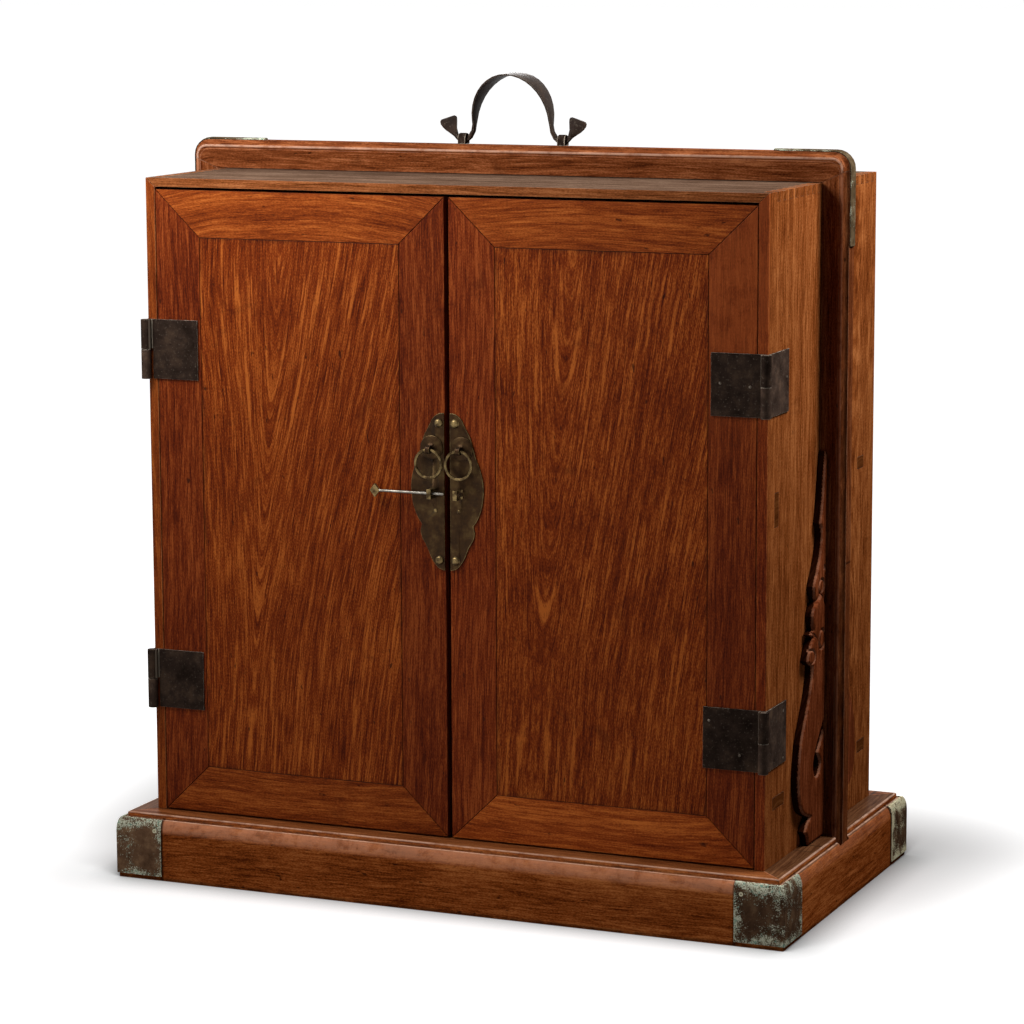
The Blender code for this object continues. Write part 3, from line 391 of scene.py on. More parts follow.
def dark_bronze(name, worn=0.0, gloss=0.0, light=1.0, line=None):
    """Near-black sheet metal with a brown bloom, rubbed grey on its edges, a grey that also paints highlights.

    Light is how light it is beside others. A line has its own tone: it is an axis, how far the line lies
    from the middle along it, a half width, a share and the tone.
    """
    g = Graph(name)
    cloud = g.noise(g.where, 60.0, 5.0, 0.66)
    fleck = g.noise(g.where, 460.0, 3.0, 0.6)
    tones = [tuple(light * part for part in tone) for tone in BRONZE_TONES]
    colour = g.ramp(cloud, BRONZE_PLACES, tones)
    colour = g.mix(g.span(fleck, 0.58, 0.70, 0.0, 0.65), colour, BRONZE_FLECK)
    if worn:
        rub = g.span(g.noise(g.where, 150.0, 3.0, 0.6), 0.34, 0.60, 0.15, 1.0)
        colour = g.mix(g.math("MULTIPLY", rub, worn), colour, BRONZE_RUBBED_AND_HIGHLIGHT)
    if line:
        axis, place, half, share, tone = line
        out = g.math("ABSOLUTE", g.parts[AXES[axis]])
        near = g.span(g.math("ABSOLUTE", g.math("SUBTRACT", out, place)), 0.4 * half, half, share, 0.0)
        colour = g.mix(near, colour, tone)
    g.set(Base_Color=colour, Metallic=0.0, Specular_IOR_Level=gloss)
    g.set(Roughness=g.span(cloud, 0.25, 0.75, 0.42, 0.58))
    g.bump(g.total(0.0, (cloud, 1.0), (fleck, 0.45)), 0.35, 0.0006)
    return g.material


def aged_brass(name, bright=0.0, rough=0.44):
    """Brown brass; bright shows the metal where fingers rub it."""
    g = Graph(name)
    cloud = g.noise(g.where, 85.0, 5.0, 0.64)
    fleck = g.noise(g.where, 560.0, 3.0, 0.6)
    colour = g.ramp(cloud, BRASS_PLACES, BRASS_TONES)
    colour = g.mix(g.span(fleck, 0.62, 0.76, 0.0, 0.30), colour, BRASS_FLECK)
    if bright:
        rub = g.span(g.noise(g.where, 170.0, 3.0, 0.6), 0.32, 0.64, 0.1, 1.0)
        colour = g.mix(g.math("MULTIPLY", rub, bright), colour, BRASS_RUBBED)
    g.set(Base_Color=colour, Metallic=0.75, Specular_IOR_Level=0.10)
    g.set(Roughness=g.span(cloud, 0.25, 0.75, rough - 0.08, rough + 0.08))
    g.bump(g.total(0.0, (cloud, 1.0), (fleck, 0.4)), 0.25, 0.0005)
    return g.material


def verdigris(name, brown, distances, reach, bias, nail=None, cream=0.0):
    """Brown bronze with a broken, pale green crust that gathers along its borders.

    The distances are functions of the graph that give how far a point lies from each border. A nail is the
    place in x and z of a flush head with a bright rim. Cream is how far the crust has gone from green to
    cream.
    """
    g = Graph(name)
    cloud = g.noise(g.where, 70.0, 5.0, 0.64)
    colour = g.ramp(cloud, PATINA_PLACES, brown)
    patch = g.noise(g.where, 62.0, 3.0, 0.6, 0.4)
    crumb = g.noise(g.where, 780.0, 2.0, 0.7)
    border = g.least(*(distance(g) for distance in distances))
    spread = g.total(bias - 1.70, (g.span(border, 0.0, reach, 0.46, 0.0), 1.0), (patch, 1.7), (crumb, 1.7))
    crust = g.span(spread, 0.16, 0.46)
    hue = g.noise(g.where, 300.0, 4.0, 0.75)
    green = g.ramp(hue, CRUST_PLACES, CRUST_TONES)
    if cream:
        green = g.mix(cream, green, CRUST_CREAM)
    colour = g.mix(crust, colour, green)
    if nail:
        out = g.far(g.math("SUBTRACT", g.x, nail[0]), g.math("SUBTRACT", g.z, nail[1]))
        colour = g.mix(g.span(out, *FLUSH_RIM, 0.9, 0.0), colour, RIM_TONE)
        colour = g.mix(g.span(out, *FLUSH_HEAD, 0.9, 0.0), colour, HEAD_TONE)
    g.set(Base_Color=colour, Metallic=0.0, Specular_IOR_Level=0.0)
    g.set(Roughness=g.span(crust, 0.0, 1.0, 0.42, 0.85))
    g.bump(g.total(0.0, (cloud, 1.0), (crust, 0.7), (patch, 0.8)), 0.40, 0.0007)
    return g.material


def steel(name):
    """Rubbed pale metal of the lock pin."""
    g = Graph(name)
    cloud = g.noise(g.where, 190.0, 4.0, 0.6)
    g.set(Base_Color=g.ramp(cloud, STEEL_PLACES, STEEL_TONES), Metallic=0.95)
    g.set(Roughness=g.span(cloud, 0.25, 0.75, 0.42, 0.26))
    g.bump(cloud, 0.10, 0.0003)
    return g.material


BRONZE = dark_bronze("dark_bronze_sheet")
BRONZE_EDGE = dark_bronze("dark_bronze_edge", 0.75)
BAIL_BRONZE = dark_bronze("bail_bronze", 0.0, 0.04)
BRONZE_NAIL = dark_bronze("nail_heads", 0.45)
BRASS = aged_brass("aged_brass_sheet")
BRASS_EDGE = aged_brass("aged_brass_edge", 0.30)
BRASS_RAISED = aged_brass("aged_brass_raised", 0.30, 0.34)
BRASS_RING = aged_brass("ring_brass", 0.26, 0.32)
BRASS_BRIGHT = aged_brass("rubbed_brass", 0.55, 0.36)
STEEL = steel("pin_steel")


# Copies of the model's pieces with finished edges

def mesh_copy(node):
    """The node's surface as a bmesh with its points welded and its flat faces whole."""
    bm = bmesh.new()
    bm.from_mesh(frame["nodes"][node].data)
    bmesh.ops.remove_doubles(bm, verts=bm.verts, dist=WELD)
    bmesh.ops.dissolve_limit(bm, angle_limit=FLAT, verts=bm.verts, edges=bm.edges)
    for face in bm.faces:
        face.material_index = 0
    bm.normal_update()
    return bm


def finish_piece(name, bm, node, materials, smooth_angle=35.0):
    """Make the piece, put it in the node's place and let it ride on the node's body."""
    mesh = bpy.data.meshes.new(name)
    bm.to_mesh(mesh)
    bm.free()
    for material in materials:
        mesh.materials.append(material)
    mesh.shade_smooth()
    mesh.set_sharp_from_angle(angle=math.radians(smooth_angle))
    piece = bpy.data.objects.new(name, mesh)
    bpy.context.scene.collection.objects.link(piece)
    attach(piece, BODY_OF[node])
    return piece


def mark_edges(bm, angle):
    """Weigh the outward edges that are sharper than an angle, so that these alone are rounded."""
    weight = bm.edges.layers.float.new("bevel_weight_edge")
    for edge in bm.edges:
        if edge.is_manifold and edge.is_convex and edge.calc_face_angle() > math.radians(angle):
            edge[weight] = 1.0


def soften(piece, width, segments=2, edge_slot=1):
    """Round the marked edges and give them their own finish."""
    bevel = piece.modifiers.new("edges", "BEVEL")
    bevel.width = width
    bevel.segments = segments
    bevel.limit_method = "WEIGHT"
    bevel.material = edge_slot
    bevel.harden_normals = True
    bevel.miter_outer = "MITER_ARC"
    return piece


def facing(bm, axis, way, index):
    """Give faces that look along an axis their own material index; way 0 means both ways."""
    for face in bm.faces:
        look = face.normal[AXES[axis]]
        if (abs(look) if way == 0 else look * way) > FACING:
            face.material_index = index


def centre_of(node):
    low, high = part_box(node)
    return (low + high) / 2


def past(axis, place, sign=1):
    """A function of a graph for the distance past a plane square to an axis, up the axis or down it."""
    def distance(g):
        spot = g.parts[AXES[axis]]
        return g.math("SUBTRACT", spot, place) if sign > 0 else g.math("SUBTRACT", place, spot)
    return distance


def wooden(node, kind, slot, axes, width, seed, wear=0.0, dark=0.0, apart=(), reshape=None, darkening=None,
           shade=1.0, marks=(), centre=None, **cut):
    """Dress a wooden node: grain along one axis, edges of a width, other wood on faces that look some way.

    Axes name the grain's run, the way across it and its depth. Wear and dark are those of the edges,
    where wear also paints highlights. Apart holds an axis, a way along it, a kind of wood and a shade for
    each of those faces. Reshape changes the surface first. Darkening, shade and marks are those of the
    finish, and centre and cut those of the figure.
    """
    figure = Figure(*axes, centre or centre_of(node), seed=seed, **cut)
    materials = [wood(node + "_face", kind, figure, darkening=darkening, shade=shade, marks=marks),
                 wood(node + "_edge", kind, figure, wear, dark, shade=shade, marks=marks)]
    bm = mesh_copy(node)
    if reshape:
        reshape(bm)
    for axis, way, other, other_shade in apart:
        facing(bm, axis, way, len(materials))
        materials.append(wood("%s_%s" % (node, other), other, figure, shade=other_shade, marks=marks))
    mark_edges(bm, EDGE_ANGLE)
    piece = finish_piece(node + "_wood", bm, node, materials)
    soften(piece, width)
    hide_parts(node)
    return piece


# Doors

# A panel's arches: where they stand across the front and in height, how far they rise, how round they are
PANEL_ARCH = {"left": -0.170, "right": 0.122}
PANEL_ARCH_Z = 0.60
PANEL_RISE = {"left": 0.046, "right": 0.030}
PANEL_HEART = {"left": 0.005, "right": 0.012}
PANEL_RIM = 0.0013
RAIL_BEND = {"left_top": 0.75, "left_bottom": -0.2, "right_top": 0.25, "right_bottom": -0.3}
RAIL_SHADE = {"left_top": 1.0, "left_bottom": 1.0, "right_top": 1.0, "right_bottom": 1.4}
STILE_SHADE = {"left_hinge": 1.0, "left_meeting": 0.95, "right_hinge": 0.95, "right_meeting": 1.1}
# Lighter towards the top, fading downwards, by a share and a reach
TOP_LIGHTER = {"right_door_hinge_stile": 0.45, "case_right_side": 0.45}
LIGHTER_REACH = 0.26
LIGHTER_RED = (0.240, 0.0520, 0.0110)


def rim_of(low, high):
    """A function for the distance from the border of a panel that faces the front."""
    sides = (past("x", low.x), past("x", high.x, -1), past("z", low.z), past("z", high.z, -1))
    return lambda g: g.least(*(side(g) for side in sides))


def lighter_top(node, distance):
    """The mark of a node that is lighter towards its top, if it is, with a function for the distance from
    there.
    """
    return ((distance, LIGHTER_REACH, TOP_LIGHTER[node], LIGHTER_RED),) if node in TOP_LIGHTER else ()


for tag, seed in (("left", 1.0), ("right", 1.37)):
    panel = tag + "_door_panel"
    low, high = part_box(panel)
    rim = rim_of(low, high)
    wooden(panel, "door", "door_wood", "zxy", 0.00035, seed, dark=0.80, darkening=rim,
           marks=((rim, PANEL_RIM, 0.85, SOOT_AND_SHADE),), centre=(PANEL_ARCH[tag], low.y, PANEL_ARCH_Z),
           heart=PANEL_HEART[tag], rise=PANEL_RISE[tag], lean=0.085, fan=0.25, dip=0.010)
    for member, shift in (("hinge", 0.11), ("meeting", 0.23)):
        node = "%s_door_%s_stile" % (tag, member)
        wooden(node, "stile", "door_wood", "zxy", 0.0003, seed + shift, dark=0.36,
               shade=STILE_SHADE[tag + "_" + member], marks=lighter_top(node, past("z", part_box(node)[1].z, -1)),
               heart=0.05, lean=0.02, aside=0.12)
    for member, shift in (("top", 0.31), ("bottom", 0.43)):
        wooden("%s_door_%s_rail" % (tag, member), "rail", "door_wood", "xzy", 0.0003, seed + shift, dark=0.36,
               shade=RAIL_SHADE[tag + "_" + member], heart=0.05, aside=0.15,
               bend=RAIL_BEND[tag + "_" + member])
    for member, shift in (("lower_batten", 0.53), ("upper_batten", 0.61)):
        wooden(tag + "_door_" + member, "inner", "inner_wood", "xzy", 0.0008, seed + shift, wear=0.2,
               aside=0.12)

# Case

# How fast a mark on a board's front edge ends behind it
FRONT_ONLY = 60.0


def front_below(node):
    """A function for the distance down a board's front edge, which grows fast behind that edge."""
    low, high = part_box(node)
    down = past("z", high.z, -1)
    return lambda g: g.math("MAXIMUM", down(g), g.total(-FRONT_ONLY * low.y, (g.y, FRONT_ONLY)))


for tag, seed, front in (("left", 2.0, ("rail", 0.85)), ("right", 2.4, ("stile", 1.15))):
    node = "case_%s_side" % tag
    wooden(node, "side", "case_wood", "zyx", 0.0005, seed, wear=0.12, apart=(("y", -1, *front),),
           marks=lighter_top(node, front_below(node)), heart=0.08, lean=0.02, aside=0.08)
wooden("case_top", "top", "case_wood", "xyz", 0.0006, 2.7, wear=0.25,
       apart=(("x", 0, "end", 1.0), ("z", 1, "dust", 1.0)), heart=0.10, aside=0.10)
wooden("case_back", "inner", "inner_wood", "zxy", 0.0006, 2.9, wear=0.2, heart=0.02, rise=0.05, lean=0.04,
       aside=0.05)
for level, seed in (("mid", 3.1), ("low", 3.5)):
    for part, shift in (("front_rail", 0.0), ("rear_rail", 0.1)):
        wooden("%s_shelf_%s" % (level, part), "inner", "inner_wood", "xyz", 0.0003, seed + shift, dark=0.5,
               apart=(("x", 0, "end", 0.55),))
    wooden("%s_shelf_board" % level, "inner", "inner_wood", "xyz", 0.0006, seed + 0.2, wear=0.2, heart=0.05,
           rise=0.05)

# Plinth

# The shoulder is fuller and the step lower than in the model: heights there, and where they go
MODEL_HEIGHTS = (0.0, 0.0400, 0.0500, 0.0555, 0.0638)
SHOULDER_HEIGHTS = (0.0, 0.0400, 0.0465, 0.0590, 0.0638)
SHOULDER_DEPTH = 0.0110
HOUSING_NEAR = 0.0002
housing_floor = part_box("frame_right_upright")[0].z - FIT

# Lines along the rails, as how far in from the outer face and how high
SHOULDER_LINE = (0.0018, 0.0545)
LEDGE_LINE = (0.0054, 0.0591)
STEP_FOOT_LINE = (0.0067, 0.0598)
STEP_TOP_LINE = (0.0076, 0.0634)
# How strong the painted sheen on the shoulder is along the front and rear and along the ends
SHEEN_SHARE_LONG = 0.46
SHEEN_SHARE_END = 0.14
# How far a mount reaches from the part's box along a rail
MOUNT_REACH = 0.0485


def full_shoulder(bm):
    """Give a rail or a mount the fuller shoulder, and leave the floors of the uprights' housings."""
    for vert in bm.verts:
        inset = min(CAD_BOX[1].x - abs(vert.co.x), CAD_BOX[1].y - abs(vert.co.y))
        if inset < SHOULDER_DEPTH and abs(vert.co.z - housing_floor) > HOUSING_NEAR:
            vert.co.z = float(np.interp(vert.co.z, MODEL_HEIGHTS, SHOULDER_HEIGHTS))
    bm.normal_update()


def section_line(part, line):
    """A function for the distance from a line along a plinth rail."""
    low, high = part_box("plinth_%s_rail" % part)
    inset = {"front": past("y", low.y), "rear": past("y", high.y, -1), "left": past("x", low.x),
             "right": past("x", high.x, -1)}[part]
    return lambda g: g.far(g.math("SUBTRACT", inset(g), line[0]), g.math("SUBTRACT", g.z, line[1]))


def mount_line(part):
    """A function for the distance along a rail from the ends of its mounts, below the ledge."""
    axis = 0 if part in ("front", "rear") else 1
    end = CAD_BOX[1][axis] - MOUNT_REACH

    def distance(g):
        aside = g.math("ABSOLUTE", g.math("SUBTRACT", g.math("ABSOLUTE", g.parts[axis]), end))
        return g.math("MAXIMUM", aside, g.math("SUBTRACT", g.z, LEDGE_LINE[1]))
    return distance


def plinth_marks(part, sheen_share):
    """Marks of a plinth rail, all painted light: sheen on its shoulder, highlights on its arrises, and shade
    in the step, at the foot and beside the mounts.
    """
    return ((section_line(part, SHOULDER_LINE), 0.0095, sheen_share, PAINTED_SHEEN),
            (section_line(part, STEP_TOP_LINE), 0.0015, 0.40, PAINTED_HIGHLIGHT),
            (section_line(part, STEP_FOOT_LINE), 0.0016, 0.62, SOOT_AND_SHADE),
            (section_line(part, LEDGE_LINE), 0.0012, 0.42, PAINTED_HIGHLIGHT),
            (lambda g: g.z, 0.0046, 0.70, SOOT_AND_SHADE),
            (mount_line(part), 0.0024, 0.70, SOOT_AND_SHADE))


for part, seed in (("front", 4.1), ("rear", 4.3)):
    wooden("plinth_%s_rail" % part, "plinth", "plinth_wood", "xzy", 0.0005, seed, wear=0.4,
           apart=(("z", 1, "top", 0.9),), reshape=full_shoulder, marks=plinth_marks(part, SHEEN_SHARE_LONG),
           heart=0.10, aside=0.10, bend=0.05)
# The end rails' top faces take a darker wood: painted shade from the case, and dust
for part, seed in (("left", 4.5), ("right", 4.7)):
    wooden("plinth_%s_rail" % part, "plinth", "plinth_wood", "yzx", 0.0005, seed, wear=0.4,
           apart=(("z", 1, "inner", 0.60),), reshape=full_shoulder, marks=plinth_marks(part, SHEEN_SHARE_END),
           heart=0.10, aside=0.10, lean=0.05)
wooden("plinth_floor_panel", "inner", "inner_wood", "xyz", 0.0004, 4.9, wear=0.1, dark=0.2)

# Carrying frame

# Radius of the frame's outer corners, and how far its bead and its lip lie in from its outline
FRAME_ROUND = 0.0152
BEAD_IN = 0.0056
LIP_IN = 0.0018
frame_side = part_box("frame_right_upright")[1].x
frame_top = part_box("frame_beam")[1].z


def frame_line(inset):
    """A function for the distance from a line that runs round the frame inside its outline."""
    def distance(g):
        out_x = g.math("SUBTRACT", g.math("ABSOLUTE", g.x), frame_side - FRAME_ROUND)
        out_z = g.math("SUBTRACT", g.z, frame_top - FRAME_ROUND)
        far_x = g.math("MAXIMUM", out_x, 0.0)
        far_z = g.math("MAXIMUM", out_z, 0.0)
        within = g.math("MINIMUM", g.math("MAXIMUM", out_x, out_z), 0.0)
        return g.math("ABSOLUTE", g.total(inset - FRAME_ROUND, (g.far(far_x, far_z), 1.0), (within, 1.0)))
    return distance


# Uprights: painted shade in the groove by the lip, and painted sheen on the bead
for tag, seed in (("left", 5.1), ("right", 5.3)):
    wooden("frame_%s_upright" % tag, "frame", "frame_wood", "zxy", 0.0006, seed, wear=0.25, shade=0.9,
           marks=((frame_line(LIP_IN), 0.0026, 0.55, SOOT_AND_SHADE), (frame_line(BEAD_IN), 0.0018, 0.30, PAINTED_SHEEN)),
           heart=0.10, aside=0.10)
# Beam: a painted highlight on the bead
wooden("frame_beam", "frame", "frame_wood", "xzy", 0.0006, 5.5, wear=0.4, shade=0.95,
       marks=((frame_line(BEAD_IN), 0.0015, 0.32, PAINTED_HIGHLIGHT),), heart=0.10, aside=0.10)

# Carved spandrels

# Blank: voxel size, smoothing rounds, share of faces kept, and how deep below the outer face carving reaches
CARVE_VOXEL = 0.0006
CARVE_SMOOTH = 2
CARVE_KEEP = 0.35
CARVE_REACH = 0.0080
EDGE_R = 0.0036
GROOVE_DEEP = 0.0018
GROOVE_HALF = 0.0020
STEP_DEEP = 0.0020
STEP_FADE = 0.0065
LINE_STEPS = 6
# Faces that look less than this outwards are sawn, and those that look less than this are rounded
SAWN_LOOK = 0.25
ROUND_LOOK = 0.80

# Lines as (share of depth out from the upright, share of height), each with the side that lies under
LEAF_LINE = [(0.36, 0.621), (0.27, 0.626), (0.19, 0.636), (0.13, 0.632), (0.07, 0.616), (-0.02, 0.596)]
HORN_LINE = [(0.60, 0.566), (0.46, 0.545), (0.33, 0.528), (0.285, 0.505), (0.255, 0.476)]
CURL_LINE = [(0.62, 0.507), (0.49, 0.5036), (0.42, 0.491), (0.434, 0.476), (0.503, 0.4705)]
CARVED_LINES = [(LEAF_LINE, -1), (HORN_LINE, -1), (CURL_LINE, 0)]
# Eyes as (centre share of depth, centre share of height, half depth, half height), with the halves in metres
EYES = [(0.175, 0.658, 0.0074, 0.0066), (0.135, 0.521, 0.0072, 0.0088), (0.075, 0.704, 0.0016, 0.0016)]


def smooth_line(knots, steps):
    """Catmull-Rom points through knots."""
    ends = np.vstack([2 * knots[0] - knots[1], knots, 2 * knots[-1] - knots[-2]])
    line = []
    for p0, p1, p2, p3 in zip(ends, ends[1:], ends[2:], ends[3:]):
        for k in range(steps):
            t = k / steps
            line.append(0.5 * (2 * p1 + (p2 - p0) * t + (2 * p0 - 5 * p1 + 4 * p2 - p3) * t * t
                               + (3 * p1 - p0 - 3 * p2 + p3) * t * t * t))
    return np.array(line + [knots[-1]])


def reach_of(spots, starts, ends):
    """Each spot's distance to the nearest of some segments, and on which side of it the spot lies."""
    near = np.full(len(spots), 1.0)
    side = np.zeros(len(spots))
    for a, b in zip(starts, ends):
        run = b - a
        from_a = spots - a
        share = np.clip(from_a @ run / max(run @ run, 1e-12), 0, 1)
        gap = np.linalg.norm(from_a - share[:, None] * run, axis=1)
        closer = gap < near
        near[closer] = gap[closer]
        side[closer] = np.sign(run[0] * from_a[closer, 1] - run[1] * from_a[closer, 0])
    return near, side


def fall(distance, half):
    """1 at a line, falling smoothly to 0 at a half width."""
    share = np.clip(1 - distance / half, 0, 1)
    return share * share * (3 - 2 * share)


def relief(spots, outline, depth, height):
    """How deep the carving goes below the outer face, at spots measured from the upright and the foot."""
    edge, _ = reach_of(spots, [a for a, _ in outline], [b for _, b in outline])
    inward = np.clip(EDGE_R - edge, 0, EDGE_R)
    deep = EDGE_R - np.sqrt(EDGE_R ** 2 - inward ** 2)
    for shares, under in CARVED_LINES:
        line = smooth_line(np.array(shares) * (depth, height), LINE_STEPS)
        near, side = reach_of(spots, line[:-1], line[1:])
        deep = deep + GROOVE_DEEP * fall(near, GROOVE_HALF)
        if under:
            deep = deep + STEP_DEEP * np.exp(-near / STEP_FADE) * (side == under)
    for u, v, half_u, half_v in EYES:
        out = np.hypot((spots[:, 0] - u * depth) / half_u, (spots[:, 1] - v * height) / half_v)
        deep = deep + GROOVE_DEEP * fall(np.abs(out - 1) * min(half_u, half_v), GROOVE_HALF)
    return np.minimum(deep, EDGE_R)


def baked(mesh, *changes):
    """The mesh after some modifiers, each given as its kind and settings."""
    obj = bpy.data.objects.new("blank", mesh)
    bpy.context.scene.collection.objects.link(obj)
    for kind, settings in changes:
        modifier = obj.modifiers.new(kind, kind)
        for key, value in settings.items():
            setattr(modifier, key, value)
    done = bpy.data.meshes.new_from_object(obj.evaluated_get(bpy.context.evaluated_depsgraph_get()))
    bpy.data.objects.remove(obj)
    bpy.data.meshes.remove(mesh)
    return done


def carved(node):
    """The front right spandrel with its edges rounded and its leaves and eyes cut in the outer face."""
    low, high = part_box(node)
    depth = high.y - low.y
    height = high.z - low.z
    bm = mesh_copy(node)
    outline = []
    for edge in bm.edges:
        outer = all(abs(vert.co.x - high.x) < WELD for vert in edge.verts)
        if outer and min(face.normal.x for face in edge.link_faces) < FACING:
            outline.append([np.array((high.y - vert.co.y, vert.co.z - low.z)) for vert in edge.verts])
    blank = bpy.data.meshes.new("blank")
    bm.to_mesh(blank)
    bm.free()
    fine = baked(blank, ("REMESH", {"mode": "VOXEL", "voxel_size": CARVE_VOXEL}),
                 ("SMOOTH", {"factor": 0.5, "iterations": CARVE_SMOOTH}))
    points = np.empty(3 * len(fine.vertices))
    fine.vertices.foreach_get("co", points)
    points = points.reshape(-1, 3)
    spots = np.column_stack([high.y - points[:, 1], points[:, 2] - low.z])
    share = np.clip((points[:, 0] - high.x + CARVE_REACH) / CARVE_REACH, 0, 1)
    points[:, 0] -= share * relief(spots, outline, depth, height)
    fine.vertices.foreach_set("co", points.ravel())
    return baked(fine, ("DECIMATE", {"ratio": CARVE_KEEP}))


scroll = carved("spandrel_front_right")
for y_tag, y_sign, shift in (("front", 1, 0.0), ("rear", -1, 0.1)):
    for x_tag, x_sign, seed in (("left", -1, 5.7), ("right", 1, 5.9)):
        node = "spandrel_%s_%s" % (y_tag, x_tag)
        bm = bmesh.new()
        bm.from_mesh(scroll)
        for vert in bm.verts:
            vert.co.x *= x_sign
            vert.co.y *= y_sign
        if x_sign * y_sign < 0:
            bmesh.ops.reverse_faces(bm, faces=bm.faces)
        figure = Figure("z", "y", "x", centre_of(node), heart=0.10, aside=0.10, seed=seed + shift)
        bm.normal_update()
        for face in bm.faces:
            look = face.normal.x * x_sign
            face.material_index = int(look < ROUND_LOOK) + int(look < SAWN_LOOK)
        # The sawn sides are darkened as painted shade; the rounded faces are rubbed lighter, partly a painted
        # highlight
        looks = [wood(node + "_face", "carved", figure), wood(node + "_round_highlight", "carved", figure, 0.22),
                 wood(node + "_sawn_shade", "carved", figure, shade=0.15)]
        piece = finish_piece(node + "_wood", bm, node, looks, 180.0)
        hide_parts(node)
bpy.data.meshes.remove(scroll)

# Metalwork

def metal(node, materials, width, angle=EDGE_ANGLE, apart=None, reshape=None):
    """Dress a metal node: its sheet, its rubbed edges, and the faces with a finish apart from these."""
    bm = mesh_copy(node)
    if reshape:
        reshape(bm)
    if apart:
        for face in bm.faces:
            if apart(face.calc_center_median()):
                face.material_index = 2
    mark_edges(bm, angle)
    piece = finish_piece(node + "_metal", bm, node, materials)
    soften(piece, width)
    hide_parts(node)
    return piece


NAIL_R = 0.0014
NAIL_H = 0.0005
NAIL_SINK = 0.0002
NAIL_SIDES = 12
# Rings of a head as shares of its radius, and how far its dome comes down at the rim
NAIL_RINGS = (1.0, 0.85, 0.45)
NAIL_FALL = 0.92


def nails(name, node, places, out, material):
    """Low round nail heads on a sheet, at points of its face, standing out along a direction."""
    bm = bmesh.new()
    turn = out.to_track_quat("Z", "Y").to_matrix().to_4x4()
    for place in places:
        rings = []
        for share in NAIL_RINGS:
            high = NAIL_H * math.sqrt(1 - NAIL_FALL * share * share) - NAIL_SINK
            ring = []
            for k in range(NAIL_SIDES):
                a = 2 * math.pi * k / NAIL_SIDES
                spot = turn @ Vector((NAIL_R * share * math.cos(a), NAIL_R * share * math.sin(a), high))
                ring.append(bm.verts.new(place + spot))
            rings.append(ring)
        base = [bm.verts.new(vert.co - out * (NAIL_H - NAIL_SINK)) for vert in rings[0]]
        rings.insert(0, base)
        for a, b in zip(rings, rings[1:]):
            for k in range(NAIL_SIDES):
                m = (k + 1) % NAIL_SIDES
                bm.faces.new((a[k], a[m], b[m], b[k]))
        bm.faces.new(rings[-1])
        bm.faces.new(rings[0][::-1])
    bmesh.ops.recalc_face_normals(bm, faces=bm.faces)
    return finish_piece(name, bm, node, [material], 50.0)


# Nails as shares of a leaf's width from the door's middle or from the front, and of its height
DOOR_LEAF_NAILS = {"left_upper": [(0.28, 0.33), (0.50, 0.60)], "left_lower": [(0.20, 0.72), (0.55, 0.30)],
                   "right_upper": [(0.15, 0.52), (0.64, 0.48)], "right_lower": [(0.09, 0.78), (0.55, 0.25)]}
SIDE_LEAF_NAILS = {"upper": [(0.90, 0.56)], "lower": [(0.87, 0.85), (0.87, 0.08)]}
LEAF_T = 0.0012
BARREL_W = 0.0094
BARREL_HIGHLIGHT = (0.30, 0.250, 0.190)
PIN_HEAD_L = 0.011
barrel_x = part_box("right_upper_door_leaf")[1].x - BARREL_W
barrel_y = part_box("right_upper_side_leaf")[0].y + BARREL_W
# Door leaves get a painted highlight along the barrel, side leaves painted shade beside it
BRONZE_DOOR = dark_bronze("hinge_door_leaf", line=("x", barrel_x, 0.0008, 0.60, BARREL_HIGHLIGHT))
BRONZE_SIDE = dark_bronze("hinge_side_leaf", light=1.9, line=("y", -barrel_y, 0.0016, 0.85, SOOT_AND_SHADE))
for side, sign in (("left", -1), ("right", 1)):
    for level in ("upper", "lower"):
        for leaf, sheet in (("side_leaf", BRONZE_SIDE), ("door_leaf", BRONZE_DOOR)):
            metal("%s_%s_%s" % (side, level, leaf), [sheet, BRONZE_EDGE], 0.00055)
        node = "%s_%s_door_leaf" % (side, level)
        low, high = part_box(node)
        inner, outer = (low.x, high.x) if sign > 0 else (high.x, low.x)
        face_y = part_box("%s_door_hinge_stile" % side)[0].y - LEAF_T - FIT
        places = [Vector((inner + u * (outer - inner), face_y, low.z + v * (high.z - low.z)))
                  for u, v in DOOR_LEAF_NAILS["%s_%s" % (side, level)]]
        head = BRONZE if sign < 0 else BRONZE_NAIL
        nails(node + "_nails", node, places, Vector((0, -1, 0)), head)
        node = "%s_%s_side_leaf" % (side, level)
        low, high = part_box(node)
        face_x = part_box("case_%s_side" % side)[1 if sign > 0 else 0].x + sign * (LEAF_T + FIT)
        places = [Vector((face_x, low.y + u * (high.y - low.y), low.z + v * (high.z - low.z)))
                  for u, v in SIDE_LEAF_NAILS[level]]
        nails(node + "_nails", node, places, Vector((sign, 0, 0)), BRONZE_NAIL)
    plate_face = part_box(side + "_lock_plate")[1].y - LEAF_T
    metal(side + "_lock_plate", [BRASS, BRASS_EDGE, BRASS_RAISED], 0.0004,
          apart=lambda spot: spot.y < plate_face - FIT)
    metal(side + "_ring_post", [BRASS, BRASS_EDGE], 0.0003)
    metal(side + "_ring", [BRASS_RING, BRASS_RING], 0.0001)
    metal("bail_%s_eye" % side, [BRONZE, BRONZE_EDGE], 0.0006)
pin_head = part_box("lock_pin")[0].x + PIN_HEAD_L
metal("lock_pin", [STEEL, BRASS_BRIGHT, BRASS_RAISED], 0.0003,
      apart=lambda spot: spot.x < pin_head)
metal("bail_handle", [BAIL_BRONZE, BRONZE_NAIL], 0.0004, 50.0)


RIM_BIAS = 0.16


